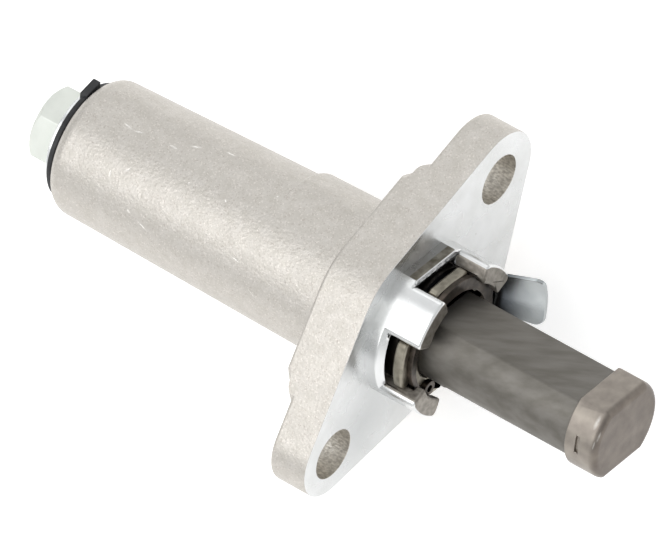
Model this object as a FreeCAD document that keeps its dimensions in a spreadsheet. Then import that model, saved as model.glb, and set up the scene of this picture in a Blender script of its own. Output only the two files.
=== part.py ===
import FreeCAD, Part
import math
import os

import Sketcher

# Screw-type timing chain tensioner, in millimetres.
# X is the plunger's axis and points out of the engine side of the flange, whose machined
# face is X = 0. Y runs through the two bolt holes and Z is up.

Vector = FreeCAD.Vector
doc = FreeCAD.newDocument("chain_tensioner")
sheet = doc.addObject("Spreadsheet::Sheet", "Sizes")

# Driving dimensions
# Each row is a name, a value and what it measures.

DIMENSIONS = [
    ("bolt_pitch", 40.5, "distance between the two bolt holes"),
    ("bolt_hole", 7.0, "diameter of a bolt hole"),
    ("ear_round", 6.75, "radius of the ear on the +Y side"),
    ("ear_round_small", 6.0, "radius of the ear on the -Y side"),
    ("ear_thick", 5.5, "thickness of the flange at its ears"),
    ("hub_thick", 7.6, "thickness of the flange round the barrel"),
    ("hub_radius", 16.5, "radius of the thicker hub on the flange's back"),
    ("crown_round", 9.6, "radius of the flange outline above the barrel"),
    ("crown_rise", 4.0, "height of that arc's centre"),
    ("crown_shift", 0.5, "how far that centre lies towards -Y"),
    ("keel_round", 12.0, "radius of the flange outline below the barrel"),
    ("keel_drop", 7.05, "depth of that arc's centre"),
    ("keel_shift", 3.1, "how far that centre lies towards +Y"),
    ("cast_edge", 0.5, "rounding of the flange's back edge"),
    ("barrel_end", 52.0, "distance from the flange face to the rear face"),
    ("barrel_rear_radius", 9.45, "barrel radius at the rear"),
    ("barrel_front_radius", 10.45, "barrel radius at the flange"),
    ("barrel_lean", 0.62, "angle that the outside of the barrel leans towards -Y at its rear"),
    ("barrel_edge", 2.0, "rounding of the rear edge"),
    ("barrel_root", 0.9, "fillet between the barrel and the flange"),
    ("root_sink", 0.15, "how far that fillet starts below the barrel's surface"),
    ("rib_start", 20.5, "distance from the flange face to the raised casting web's rear end"),
    ("rib_height", 0.65, "how far the raised web stands out of the barrel"),
    ("rib_fall", 0.15, "how far the raised web's rear edge lies below the barrel radius at the flange"),
    ("rib_angle", -30.0, "direction of the raised web, from +Y towards +Z"),
    ("bore_radius", 7.3, "radius of the long bore"),
    ("rear_wall", 4.5, "thickness of the barrel's rear wall"),
    ("seal_thread", 6.0, "diameter of the sealing bolt's thread"),
    ("ring_radius", 10.6, "outer radius of the spigot ring and lugs"),
    ("ring_height", 2.5, "height of the spigot ring above the flange face"),
    ("ring_chamfer", 0.9, "chamfer at the outer edge of the ring's round sides"),
    ("flat_chamfer", 0.35, "chamfer at the outer edge of the ring's flat sides"),
    ("pocket_depth", 1.5, "depth of the pocket below the ring's top"),
    ("flat_angle", 51.0, "direction of the plunger's flats, from +Y towards +Z"),
    ("ring_flat", 9.8, "distance from the axis to the ring's outer flats"),
    ("seat_flat", 8.7, "distance from the axis to the pocket's inner flats"),
    ("lug_lip_thick", 1.4, "thickness of the lip inside the lugs' tips"),
    ("lug_spread", 40.0, "angle that each lug covers"),
    ("lug_lip", 8.0, "inner radius of the lugs at their tips"),
    ("lug_groove", 0.2, "radial room for the circlip behind the lugs' lips"),
    ("lug_edge", 0.4, "rounding of the lug tips"),
    ("lug_corner", 0.8, "rounding of the lugs' outer corners"),
    ("sleeve_wall", 0.45, "wall of the spring sleeve"),
    ("sleeve_ear", 8.5, "radius of the four ears on the sleeve's front rim"),
    ("sleeve_rim_thick", 1.95, "thickness of the sleeve's front rim"),
    ("sleeve_slot", 1.8, "width of the slot that holds the spring's outer end"),
    ("sleeve_slot_length", 3.0, "length of that slot"),
    ("seat_thick", 1.0, "thickness of the hardened thrust seat"),
    ("seat_edge", 0.1, "broken corner of the thrust seat"),
    ("seat_hole", 5.2, "diameter of the thrust seat's hole"),
    ("tongue_thick", 0.5, "sheet thickness of the tongue plate"),
    ("tongue_spread", 38.0, "angle that the tongue covers"),
    ("tongue_skew", 5.4, "angle from the middle of its gap to the tongue's middle"),
    ("tongue_foot", 9.95, "inner radius of the tongue where it turns forward"),
    ("tongue_knee", 5.0, "distance from the flange face to where the tongue flares"),
    ("tongue_reach", 11.2, "distance from the flange face to the tongue's tip"),
    ("tongue_tip", 12.7, "outer radius of the tongue's tip"),
    ("tongue_corner", 1.2, "rounding of the tongue's corners"),
    ("tongue_bend", 0.9, "outer radius of the tongue's bend at its foot"),
    ("guide_thick", 1.55, "thickness of the guide plate at its ears"),
    ("guide_hub", 3.0, "length of the guide plate's hub behind its ears"),
    ("guide_disc", 7.8, "radius of the guide plate between the lugs"),
    ("guide_ear", 9.6, "radius of the guide plate's round ears"),
    ("guide_flat", 8.55, "distance from the axis to the guide plate's flat ears"),
    ("guide_edge", 0.4, "rounding of the guide plate's front edge"),
    ("guide_corner", 0.8, "rounding of the corners of its ears"),
    ("lug_play", 1.0, "angle between a lug and the guide plate's notch on each side"),
    ("plunger_play", 0.08, "play between the plunger and the guide plate's hole"),
    ("circlip_radius", 8.45, "outer radius of the circlip"),
    ("circlip_bore", 7.14, "inner radius of the circlip"),
    ("circlip_shift", 0.6, "how far its inner circle lies towards its gap"),
    ("circlip_thick", 0.7, "thickness of the circlip"),
    ("circlip_gap", 34.0, "angle between the circlip's two eyes"),
    ("circlip_turn", 164.0, "angle from the plunger's flats to the circlip's gap"),
    ("circlip_eye", 1.1, "radius of the circlip's eyes"),
    ("circlip_hole", 0.5, "radius of the holes in its eyes"),
    ("plunger_radius", 6.0, "radius of the plunger"),
    ("plunger_flat", 4.75, "distance from the axis to the plunger's flats"),
    ("plunger_front", 32.35, "distance from the flange face to the plunger's front"),
    ("plunger_length", 38.0, "length of the plunger"),
    ("plunger_thread_length", 12.0, "length of the thread inside the plunger"),
    ("plunger_floor", 2.4, "thickness of the plunger's closed front"),
    ("drill_point", 1.4, "depth of the drilled cone at the end of the plunger's bore"),
    ("travel", 22.0, "how far the plunger screws back into the housing"),
    ("cap_wall", 0.65, "sheet thickness of the plunger cap"),
    ("cap_length", 4.7, "length of the plunger cap"),
    ("cap_edge", 1.0, "rounding of the cap's front edge"),
    ("stake_turn", 86.0, "angle from the plunger's flats to the cap's stake mark"),
    ("stake_back", 2.9, "distance from the cap's front to the stake mark"),
    ("stake_length", 2.6, "length of the stake mark round the cap"),
    ("stake_width", 0.9, "width of the stake mark"),
    ("stake_depth", 0.35, "depth of the stake mark"),
    ("thread_lead", 5.0, "distance the plunger moves for one turn of the screw"),
    ("thread_crest", 3.7, "radius over the screw's thread"),
    ("thread_root", 3.05, "radius at the root of the screw's thread"),
    ("thread_flat", 0.75, "width of the thread's crest, measured along the screw"),
    ("thread_play", 0.15, "radial play between the screw and the plunger"),
    ("thread_side_play", 0.15, "play on each side of a thread, measured along the screw"),
    ("thread_neck", 0.2, "how far the neck before the thread lies below its root"),
    ("thread_end_gap", 0.9, "room left before the screw's front end when the plunger is in"),
    ("thread_runout", 0.8, "plain length between the collar and the thread"),
    ("collar_radius", 5.6, "radius of the screw's collar"),
    ("collar_thick", 1.5, "thickness of the screw's collar"),
    ("tail_radius", 3.0, "radius of the screw's plain tail"),
    ("tail_length", 15.0, "length of the screw's plain tail"),
    ("tail_slot", 1.4, "width of the slot across the tail"),
    ("tail_slot_depth", 3.2, "depth of that slot"),
    ("tail_edge", 0.3, "chamfer at the tail's end"),
    ("wire_radius", 0.5, "radius of the spring's wire"),
    ("coil_radius", 5.4, "radius of the spring's coil, to the middle of the wire"),
    ("coil_turns", 9.5, "number of turns in the spring"),
    ("coil_gap", 0.2, "gap between the spring and the screw's collar"),
    ("hex_flats", 10.0, "distance across the bolt head's flats"),
    ("hex_height", 4.25, "height of the bolt head"),
    ("hex_turn", 44.0, "angle from the plunger's flats to a corner of the bolt head"),
    ("hex_crown", 0.8, "depth of the cone turned on the bolt head's rear corners"),
    ("bolt_length", 6.0, "length of the bolt below its head"),
    ("bolt_lead_in", 0.6, "chamfer at the bolt's end"),
    ("washer_radius", 7.2, "outer radius of the bolt's washer"),
    ("washer_thick", 0.8, "thickness of the bolt's washer"),
    ("washer_edge", 0.15, "broken corner of the bolt's washer"),
    ("seal_radius", 8.1, "outer radius of the rubber seal"),
    ("seal_thick", 0.85, "thickness of the rubber seal"),
    ("seal_edge", 0.2, "broken corner of the rubber seal"),
    ("tab_reach", 9.05, "radius that the seal's pull tab reaches"),
    ("tab_angle", 50.0, "direction of the pull tab, from +Y towards +Z"),
    ("tab_width", 2.8, "width of the pull tab"),
    ("tab_rise", 0.3, "how far the pull tab stands behind the seal"),
    ("tab_slant", 0.7, "how much shorter the pull tab is on one side"),
    ("washer_play", 0.2, "play between the bolt and its washer"),
    ("fit_gap", 0.05, "gap between two fitted pieces"),
    ("near", 0.001, "greatest distance at which two places count as the same"),
    ("overrun", 1.0, "how far a cutter starts before the face that it cuts, and ends behind it"),
]

# Counts: copies in a pattern, and how finely the threads and the spring are drawn.

LUG_COUNT = 4
THREAD_START_COUNT = 2
THREAD_STEP_COUNT = 10
CREST_CHORD_COUNT = 3
WIRE_SIDE_COUNT = 8
COIL_STEP_COUNT = 12


class Size:
    """A number together with the sheet expression that gives it."""

    def __init__(self, number, text):
        self.number = number
        self.text = text

    def __add__(self, other):
        other = as_size(other)
        return Size(self.number + other.number, f"({self.text} + {other.text})")

    def __sub__(self, other):
        other = as_size(other)
        return Size(self.number - other.number, f"({self.text} - {other.text})")

    def __mul__(self, other):
        other = as_size(other)
        return Size(self.number * other.number, f"({self.text} * {other.text})")

    def __truediv__(self, other):
        other = as_size(other)
        return Size(self.number / other.number, f"({self.text} / {other.text})")

    def __neg__(self):
        return Size(-self.number, f"(0 - {self.text})")


def as_size(value):
    """Take a plain number or a Size."""
    if isinstance(value, Size):
        return value
    return Size(float(value), f"{float(value)}")


def cosine(angle):
    return Size(math.cos(math.radians(angle.number)), f"cos({angle.text})")


def sine(angle):
    return Size(math.sin(math.radians(angle.number)), f"sin({angle.text})")


def arcsine(share):
    return Size(math.degrees(math.asin(share.number)), f"(asin({share.text}) / 1deg)")


def square_root(value):
    return Size(math.sqrt(value.number), f"sqrt({value.text})")


QUARTER_TURN = Size(90.0, "90.0")
FULL_TURN = Size(360.0, "360.0")

size = {}
for row, (alias, value, meaning) in enumerate(DIMENSIONS, start=1):
    sheet.set(f"A{row}", meaning)
    sheet.set(f"B{row}", str(value))
    sheet.setAlias(f"B{row}", alias)
    size[alias] = Size(value, f"Sizes.{alias}")
doc.recompute()

# Derived places, most of them distances along X from the flange face

past = size["overrun"]
near = size["near"].number
rear_face = -size["barrel_end"]
bore_floor = rear_face + size["rear_wall"]
hub_back = -size["hub_thick"]
ear_back = -size["ear_thick"]
pocket_floor = size["ring_height"] - size["pocket_depth"]
ring_opening = size["ring_radius"] - size["ring_chamfer"]
sleeve_front = pocket_floor + size["sleeve_rim_thick"]
guide_back = sleeve_front + size["tongue_thick"]
guide_front = guide_back + size["guide_thick"]
circlip_front = guide_front + size["circlip_thick"]
lip_back = circlip_front + size["fit_gap"] * 2.0
lug_front = lip_back + size["lug_lip_thick"]
lug_inner = size["circlip_radius"] + size["lug_groove"]
seat_front = bore_floor + size["seat_thick"]
plunger_rear = size["plunger_front"] - size["plunger_length"]
tail_end = seat_front + size["fit_gap"]
collar_back = tail_end + size["tail_length"]
collar_front = collar_back + size["collar_thick"]
seal_back = rear_face - size["seal_thick"]
washer_back = seal_back - size["washer_thick"]
head_back = washer_back - size["hex_height"]
sleeve_inner = size["bore_radius"] - size["fit_gap"] - size["sleeve_wall"]
lug_angle = size["flat_angle"] - QUARTER_TURN / 2.0
gap_spread = QUARTER_TURN - size["lug_spread"]
plunger_floor_back = size["plunger_front"] - size["plunger_floor"]
thread_front = plunger_floor_back - size["travel"] - size["thread_end_gap"]
slot_floor = tail_end + size["tail_slot_depth"]
coil_back = slot_floor - size["wire_radius"] - size["fit_gap"]
coil_front = collar_back - size["wire_radius"] - size["coil_gap"]
spring_end_angle = size["flat_angle"] + FULL_TURN * size["coil_turns"]


# Helpers


def new_body(label):
    """Start a solid piece and give it its own name."""
    body = doc.addObject("PartDesign::Body", label)
    body.Label = label
    return body


def new_sketch(body, name, role, offset=None):
    """Place a sketch on one of the body's own planes, moved along the plane's normal."""
    sketch = body.newObject("Sketcher::SketchObject", name)
    plane = [item for item in body.Origin.OriginFeatures if item.Role == role][0]
    sketch.AttachmentSupport = (plane, [""])
    sketch.MapMode = "FlatFace"
    if offset is not None:
        bind(sketch, "AttachmentOffset.Base.z", offset)
    return sketch


def turned_sketch(body, name, direction):
    """Place a sketch through the plunger's axis, with its Y turned to a direction."""
    sketch = new_sketch(body, name, "XY_Plane")
    sketch.AttachmentOffset = FreeCAD.Placement(Vector(0, 0, 0), FreeCAD.Rotation(Vector(1, 0, 0), 0))
    bind(sketch, "AttachmentOffset.Rotation.Angle", direction)
    return sketch


def bind(target, prop, value):
    """Tie a property to the sheet."""
    target.setExpression(prop, as_size(value).text)


def pin_point(sketch, geometry, end, x, y):
    """Hold a sketch point at two sheet distances from the origin."""
    for kind, value in (("DistanceX", x), ("DistanceY", y)):
        value = as_size(value)
        index = sketch.addConstraint(Sketcher.Constraint(kind, geometry, end, value.number))
        sketch.setExpression(f"Constraints[{index}]", value.text)


def arc_centre(start, end, radius, left):
    """Centre of the arc from start to end that lies to the left or right of the chord."""
    middle = (start + end) * 0.5
    half = (end - start) * 0.5
    rise = math.sqrt(max(radius * radius - half.Length * half.Length, 0.0))
    across = Vector(-half.y, half.x, 0).normalize()
    return middle + across * (rise if left else -rise)


def closed_profile(sketch, corners, arcs=None):
    """Draw a closed outline through corners; arcs gives some sides a radius and a turn."""
    arcs = arcs or {}
    points = [Vector(as_size(x).number, as_size(y).number, 0) for x, y in corners]
    count = len(points)
    sides = []
    for index in range(count):
        start = points[index]
        end = points[(index + 1) % count]
        if index not in arcs:
            sides.append((sketch.addGeometry(Part.LineSegment(start, end), False), 1, 2))
            continue
        radius, turns_left = arcs[index]
        centre = arc_centre(start, end, radius.number, turns_left)
        first = math.atan2(start.y - centre.y, start.x - centre.x)
        last = math.atan2(end.y - centre.y, end.x - centre.x)
        if not turns_left:
            first, last = last, first
        circle = Part.Circle(centre, Vector(0, 0, 1), radius.number)
        arc = sketch.addGeometry(Part.ArcOfCircle(circle, first, last), False)
        sides.append((arc, 1, 2) if turns_left else (arc, 2, 1))
    for index in range(count):
        following = sides[(index + 1) % count]
        joined = Sketcher.Constraint("Coincident", sides[index][0], sides[index][2], following[0], following[1])
        sketch.addConstraint(joined)
        pin_point(sketch, sides[index][0], sides[index][1], *corners[index])
    for index, (radius, turns_left) in arcs.items():
        constraint = Sketcher.Constraint("Radius", sides[index][0], radius.number)
        number = sketch.addConstraint(constraint)
        sketch.setExpression(f"Constraints[{number}]", radius.text)


def circle(sketch, radius, x=0.0, y=0.0):
    """Draw a circle with its centre and radius tied to the sheet."""
    radius = as_size(radius)
    centre = Vector(as_size(x).number, as_size(y).number, 0)
    shape = sketch.addGeometry(Part.Circle(centre, Vector(0, 0, 1), radius.number), False)
    pin_point(sketch, shape, 3, x, y)
    number = sketch.addConstraint(Sketcher.Constraint("Radius", shape, radius.number))
    sketch.setExpression(f"Constraints[{number}]", radius.text)


def pad(body, sketch, length, backwards=False):
    """Grow the solid from a sketch."""
    feature = body.newObject("PartDesign::Pad", f"{sketch.Name}_pad")
    feature.Profile = sketch
    feature.Reversed = backwards
    bind(feature, "Length", length)
    sketch.Visibility = False
    return feature


def pocket(body, sketch, length=None, backwards=False):
    """Cut the solid from a sketch; with no length the cut goes right through."""
    feature = body.newObject("PartDesign::Pocket", f"{sketch.Name}_cut")
    feature.Profile = sketch
    feature.Reversed = backwards
    if length is None:
        feature.Type = 1
        feature.Midplane = True
    else:
        bind(feature, "Length", length)
    return feature


def turn(body, sketch, cutting=False):
    """Spin a half-section about the plunger's axis, as solid or as a cut."""
    kind = "PartDesign::Groove" if cutting else "PartDesign::Revolution"
    feature = body.newObject(kind, f"{sketch.Name}_turned")
    feature.Profile = sketch
    feature.ReferenceAxis = (sketch, ["H_Axis"])
    feature.Angle = 360.0
    return feature


def repeat_round(body, original, count):
    """Copy a feature round the plunger's axis."""
    pattern = body.newObject("PartDesign::PolarPattern", f"{original.Name}_round")
    pattern.Originals = [original]
    axis = [item for item in body.Origin.OriginFeatures if item.Role == "X_Axis"][0]
    pattern.Axis = (axis, [""])
    pattern.Angle = 360.0
    pattern.Occurrences = count
    body.Tip = pattern
    return pattern


def polar(radius, angle):
    """Sheet coordinates of a point given by its radius and direction."""
    return (radius * cosine(angle), radius * sine(angle))


def sector(sketch, inner, outer, middle, spread):
    """Draw a closed piece of a ring, centred on one direction."""
    low = middle - spread / 2.0
    high = middle + spread / 2.0
    corners = [polar(inner, low), polar(outer, low), polar(outer, high), polar(inner, high)]
    closed_profile(sketch, corners, {1: (as_size(outer), True), 3: (as_size(inner), False)})


def rounded_sector(sketch, inner, outer, corner, middle):
    """Draw a lug's section: a piece of a ring with its two outer corners rounded."""
    low = middle - size["lug_spread"] / 2.0
    high = middle + size["lug_spread"] / 2.0
    turned = arcsine(corner / (outer - corner))
    side = square_root(outer * (outer - corner * 2.0))
    corners = [
        polar(inner, low),
        polar(side, low),
        polar(outer, low + turned),
        polar(outer, high - turned),
        polar(side, high),
        polar(inner, high),
    ]
    arcs = {1: (corner, True), 2: (outer, True), 3: (corner, True), 5: (inner, False)}
    closed_profile(sketch, corners, arcs)


def rotated(along, across, direction):
    """Sheet coordinates of a point given along and across a direction."""
    y = along * cosine(direction) - across * sine(direction)
    z = along * sine(direction) + across * cosine(direction)
    return (y, z)


def slab(sketch, near, far, half_width, direction):
    """Draw a box that lies across one direction, between two distances from the axis."""
    spots = ((near, -half_width), (far, -half_width), (far, half_width), (near, half_width))
    closed_profile(sketch, [rotated(along, across, direction) for along, across in spots])


def edges_at(shape, keep):
    """Names of the edges whose points all meet a test."""
    names = []
    for number, edge in enumerate(shape.Edges, start=1):
        first, last = edge.FirstParameter, edge.LastParameter
        samples = [edge.valueAt(first + (last - first) * part / 4.0) for part in range(5)]
        if all(keep(point) for point in samples):
            names.append(f"Edge{number}")
    return names


def lean_with_barrel(item):
    """Turn a whole piece a little about Z, as the outside of the barrel leans."""
    item.Placement = FreeCAD.Placement(Vector(0, 0, 0), FreeCAD.Rotation(Vector(0, 0, 1), 0))
    bind(item, "Placement.Rotation.Angle", size["barrel_lean"])


def join(label, pieces):
    """Fuse several solids into one."""
    fused = doc.addObject("Part::MultiFuse", label)
    fused.Label = label
    fused.Shapes = pieces
    fused.Refine = True
    return fused


def cut(label, base, tool):
    """Take one solid away from another."""
    result = doc.addObject("Part::Cut", label)
    result.Label = label
    result.Base = base
    result.Tool = tool
    result.Refine = True
    return result


def soften(body, base, names, radius):
    """Round some edges of the last feature."""
    feature = body.newObject("PartDesign::Fillet", f"{base.Name}_edges")
    feature.Base = (base, names)
    bind(feature, "Radius", radius)
    return feature


# Housing
# One aluminium casting: flange, tapered barrel, spigot ring and four lugs.


def flange_circles():
    """Centre and radius of the four arcs that the flange outline is wrapped round."""
    half = size["bolt_pitch"] / 2.0
    return [
        (half, as_size(0.0), size["ear_round"]),
        (-size["crown_shift"], size["crown_rise"], size["crown_round"]),
        (-half, as_size(0.0), size["ear_round_small"]),
        (size["keel_shift"], -size["keel_drop"], size["keel_round"]),
    ]


def outer_tangent(first, second):
    """Touch points of the line that runs outside two circles, counter-clockwise."""
    start = Vector(first[0].number, first[1].number, 0)
    end = Vector(second[0].number, second[1].number, 0)
    gap = end - start
    along = gap / gap.Length
    lean = (first[2].number - second[2].number) / gap.Length
    outward = along * lean + Vector(along.y, -along.x, 0) * math.sqrt(1 - lean * lean)
    return start + outward * first[2].number, end + outward * second[2].number


def draw_flange_outline(sketch):
    """Four arcs joined by four tangent lines."""
    circles = flange_circles()
    count = len(circles)
    lines = [outer_tangent(circles[index], circles[(index + 1) % count]) for index in range(count)]
    arc_numbers = []
    for index, (y, z, radius) in enumerate(circles):
        centre = Vector(y.number, z.number, 0)
        first = lines[index - 1][1] - centre
        last = lines[index][0] - centre
        base = Part.Circle(centre, Vector(0, 0, 1), radius.number)
        arc = Part.ArcOfCircle(base, math.atan2(first.y, first.x), math.atan2(last.y, last.x))
        arc_numbers.append(sketch.addGeometry(arc, False))
    line_numbers = [sketch.addGeometry(Part.LineSegment(*ends), False) for ends in lines]
    for index in range(count):
        following = arc_numbers[(index + 1) % count]
        sketch.addConstraint(Sketcher.Constraint("Tangent", arc_numbers[index], 2, line_numbers[index], 1))
        sketch.addConstraint(Sketcher.Constraint("Tangent", line_numbers[index], 2, following, 1))
    for index, (y, z, radius) in enumerate(circles):
        pin_point(sketch, arc_numbers[index], 3, y, z)
        number = sketch.addConstraint(Sketcher.Constraint("Radius", arc_numbers[index], radius.number))
        sketch.setExpression(f"Constraints[{number}]", radius.text)


def make_flange_ears():
    """The flange at the thickness of its ears, with its back edge rounded."""
    body = new_body("flange_ears")
    outline = new_sketch(body, "ear_outline", "YZ_Plane")
    draw_flange_outline(outline)
    plate = pad(body, outline, size["ear_thick"], backwards=True)
    doc.recompute()
    back = ear_back.number + near
    soften(body, plate, edges_at(plate.Shape, lambda p: p.x < back), size["cast_edge"])
    return body


def make_flange_hub():
    """The thicker middle of the flange, which falls to the ears in two soft bends."""
    body = new_body("flange_hub")
    outline = new_sketch(body, "hub_outline", "YZ_Plane")
    draw_flange_outline(outline)
    plate = pad(body, outline, size["hub_thick"], backwards=True)
    doc.recompute()
    back = hub_back.number + near
    soften(body, plate, edges_at(plate.Shape, lambda p: p.x < back), size["cast_edge"])

    bend = (size["hub_thick"] - size["ear_thick"]) / 2.0
    foot = size["hub_radius"] + bend * 2.0
    step = new_sketch(body, "hub_step", "XY_Plane")
    corners = [
        (hub_back - past, size["hub_radius"]),
        (hub_back, size["hub_radius"]),
        (hub_back + bend, size["hub_radius"] + bend),
        (ear_back, foot),
        (past, foot),
        (past, size["bolt_pitch"]),
        (hub_back - past, size["bolt_pitch"]),
    ]
    closed_profile(step, corners, {1: (bend, True), 2: (bend, False)})
    turn(body, step, cutting=True)
    return body


def make_barrel():
    """The tapered barrel with its rounded rear edge, which leans a little."""
    body = new_body("barrel")
    profile = new_sketch(body, "barrel_section", "XY_Plane")
    edge = size["barrel_edge"]
    corners = [
        (rear_face, as_size(0.0)),
        (rear_face, size["barrel_rear_radius"] - edge),
        (rear_face + edge, size["barrel_rear_radius"]),
        (hub_back, size["barrel_front_radius"]),
        (ear_back, size["barrel_front_radius"]),
        (ear_back, as_size(0.0)),
    ]
    closed_profile(profile, corners, {1: (edge, False)})
    turn(body, profile)
    lean_with_barrel(body)
    return body


def make_barrel_root():
    """The soft fillet where the barrel runs into the flange's hub."""
    body = new_body("barrel_root")
    profile = new_sketch(body, "root_section", "XY_Plane")
    root = size["barrel_root"]
    front = size["barrel_front_radius"] - size["root_sink"]
    corners = [
        (hub_back - root, as_size(0.0)),
        (hub_back - root, front),
        (hub_back, front + root),
        (ear_back, front + root),
        (ear_back, as_size(0.0)),
    ]
    closed_profile(profile, corners, {1: (root, True)})
    turn(body, profile)
    return body


def make_spigot():
    """The ring on the flange face, with two milled flats, and the four lugs that stand on it."""
    body = new_body("spigot")
    ring = new_sketch(body, "ring_outline", "YZ_Plane", ear_back)
    circle(ring, size["ring_radius"])
    pad(body, ring, size["ring_height"] + size["ear_thick"])
    outside = size["ring_radius"] + past
    above = size["ring_height"] + past

    # The flats end in a straight chamfer, the round sides in a wider one.
    flat = turned_sketch(body, "spigot_flat", size["flat_angle"])
    edge = size["flat_chamfer"]
    corners = [
        (as_size(0.0), size["ring_flat"]),
        (size["ring_height"] - edge, size["ring_flat"]),
        (size["ring_height"], size["ring_flat"] - edge),
        (above, size["ring_flat"] - edge),
        (above, outside),
        (as_size(0.0), outside),
    ]
    closed_profile(flat, corners)
    repeat_round(body, pocket(body, flat), 2)

    rim = turned_sketch(body, "rim_section", size["flat_angle"] + QUARTER_TURN)
    edge = size["ring_chamfer"]
    corners = [(above - edge - past * 2.0, outside), (above, ring_opening - past), (above, outside)]
    closed_profile(rim, corners)
    bevel = turn(body, rim, cutting=True)
    bevel.Midplane = True
    bind(bevel, "Angle", QUARTER_TURN)
    repeat_round(body, bevel, 2)

    # The lugs stand between the gaps that the guide plate's ears fill.
    lug = new_sketch(body, "lug_section", "YZ_Plane")
    rounded_sector(lug, size["bore_radius"] - past, size["ring_radius"], size["lug_corner"], lug_angle)
    lugs = repeat_round(body, pad(body, lug, lug_front), LUG_COUNT)
    doc.recompute()
    tip = lug_front.number - near
    lip = size["lug_lip"].number
    names = edges_at(lugs.Shape, lambda p: p.x > tip)
    names = [name for name in names if outermost(lugs.Shape.getElement(name)) > lip]
    soften(body, lugs, names, size["lug_edge"])
    return body


def make_casting_web():
    """A low web that thickens one side of the barrel beside the flange."""
    body = new_body("casting_web")
    web = new_sketch(body, "web_section", "XY_Plane")
    front = size["barrel_front_radius"]
    rise = size["rib_height"]
    start = -size["rib_start"]
    corners = [
        (start, as_size(0.0)),
        (start, front - rise),
        (start + rise, front - size["rib_fall"]),
        (ear_back, front),
        (ear_back, as_size(0.0)),
    ]
    closed_profile(web, corners)
    turn(body, web)
    lean_with_barrel(body)
    bind(body, "Placement.Base.y", rise * cosine(size["rib_angle"]))
    bind(body, "Placement.Base.z", rise * sine(size["rib_angle"]))
    return body


def make_bores():
    """The long bore and the grooves inside the lugs."""
    body = new_body("bores")
    bore = new_sketch(body, "bore_section", "XY_Plane")
    above = lug_front + past
    corners = [
        (bore_floor, as_size(0.0)),
        (bore_floor, size["bore_radius"]),
        (pocket_floor, size["bore_radius"]),
        (pocket_floor, lug_inner),
        (lip_back, lug_inner),
        (lip_back, size["lug_lip"]),
        (above, size["lug_lip"]),
        (above, as_size(0.0)),
    ]
    closed_profile(bore, corners)
    turn(body, bore)
    return body


def make_port():
    """The sealing bolt's hole through the rear wall, in line with the outside of the barrel."""
    body = new_body("port")
    hole = new_sketch(body, "port_circle", "YZ_Plane", rear_face - past)
    circle(hole, size["seal_thread"] / 2.0)
    pad(body, hole, size["rear_wall"] + past * 2.0)
    lean_with_barrel(body)
    return body


def make_gaps():
    """The wider pocket between the lugs: round on two sides, flat on the other two."""
    inner = size["bore_radius"] - past
    tall = lug_front + past - pocket_floor
    rounds = new_body("round_gaps")
    rounds.AllowCompound = True
    round_gap = new_sketch(rounds, "round_gap", "YZ_Plane", pocket_floor)
    sector(round_gap, inner, ring_opening, size["flat_angle"] + QUARTER_TURN, gap_spread)
    repeat_round(rounds, pad(rounds, round_gap, tall), 2)

    flats = new_body("flat_gaps")
    flats.AllowCompound = True
    flat_gap = new_sketch(flats, "flat_gap", "YZ_Plane", pocket_floor)
    half = size["seat_flat"] * sine(gap_spread / 2.0)
    slab(flat_gap, inner, size["seat_flat"], half, size["flat_angle"])
    repeat_round(flats, pad(flats, flat_gap, tall), 2)
    return [rounds, flats]


def make_bolt_holes():
    """The two mounting holes."""
    body = new_body("bolt_holes")
    body.AllowCompound = True
    holes = new_sketch(body, "hole_circles", "YZ_Plane", hub_back - past)
    for side in (0.5, -0.5):
        circle(holes, size["bolt_hole"] / 2.0, size["bolt_pitch"] * side, 0.0)
    pad(body, holes, size["hub_thick"] + past * 2.0)
    return body


def make_housing():
    """One aluminium casting: the forms are joined, then the machined spaces are cut away."""
    flange = [make_flange_ears(), make_flange_hub()]
    casting = join("casting", flange + [make_barrel(), make_barrel_root(), make_casting_web(), make_spigot()])
    bored = cut("bored_casting", casting, join("boring", [make_bores(), make_port()]))
    tools = join("machining", make_gaps() + [make_bolt_holes()])
    return cut("housing", bored, tools)


def outermost(edge):
    """Greatest distance from the axis of an edge's two ends."""
    return max(math.hypot(vertex.Point.y, vertex.Point.z) for vertex in edge.Vertexes)


# Sealing bolt, its washer and the rubber seal
# They close the hole through which the screw is wound back.


def make_sealing_bolt():
    """Hex-head bolt whose thread is left plain."""
    body = new_body("sealing_bolt")
    head = new_sketch(body, "hex_head", "YZ_Plane", head_back)
    across = size["hex_flats"] / 2.0
    corner = across / cosine(FULL_TURN / 12.0)
    turned = size["flat_angle"] + size["hex_turn"]
    corners = [polar(corner, turned + FULL_TURN * (step / 6.0)) for step in range(6)]
    closed_profile(head, corners)
    pad(body, head, size["hex_height"])

    # The rear corners of the hexagon are turned away to a cone.
    crown = new_sketch(body, "head_crown", "XY_Plane")
    corners = [
        (head_back - past, across),
        (head_back, across),
        (head_back + size["hex_crown"], corner),
        (head_back + size["hex_crown"], corner + past),
        (head_back - past, corner + past),
    ]
    closed_profile(crown, corners)
    turn(body, crown, cutting=True)

    shank = new_sketch(body, "bolt_shank", "XY_Plane")
    tip = washer_back + size["bolt_length"]
    radius = size["seal_thread"] / 2.0 - size["fit_gap"]
    lead_in = size["bolt_lead_in"]
    corners = [
        (head_back + past, as_size(0.0)),
        (head_back + past, radius),
        (tip - lead_in, radius),
        (tip, radius - lead_in),
        (tip, as_size(0.0)),
    ]
    closed_profile(shank, corners)
    turn(body, shank)
    lean_with_barrel(body)
    return body


def make_ring_piece(label, back, front, inner, outer, edge):
    """A flat round piece with a hole, its outer corners slightly broken."""
    body = new_body(label)
    section = new_sketch(body, f"{label}_section", "XY_Plane")
    corners = [
        (back, inner),
        (back, outer - edge),
        (back + edge, outer),
        (front - edge, outer),
        (front, outer - edge),
        (front, inner),
    ]
    closed_profile(section, corners)
    turn(body, section)
    return body


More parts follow.
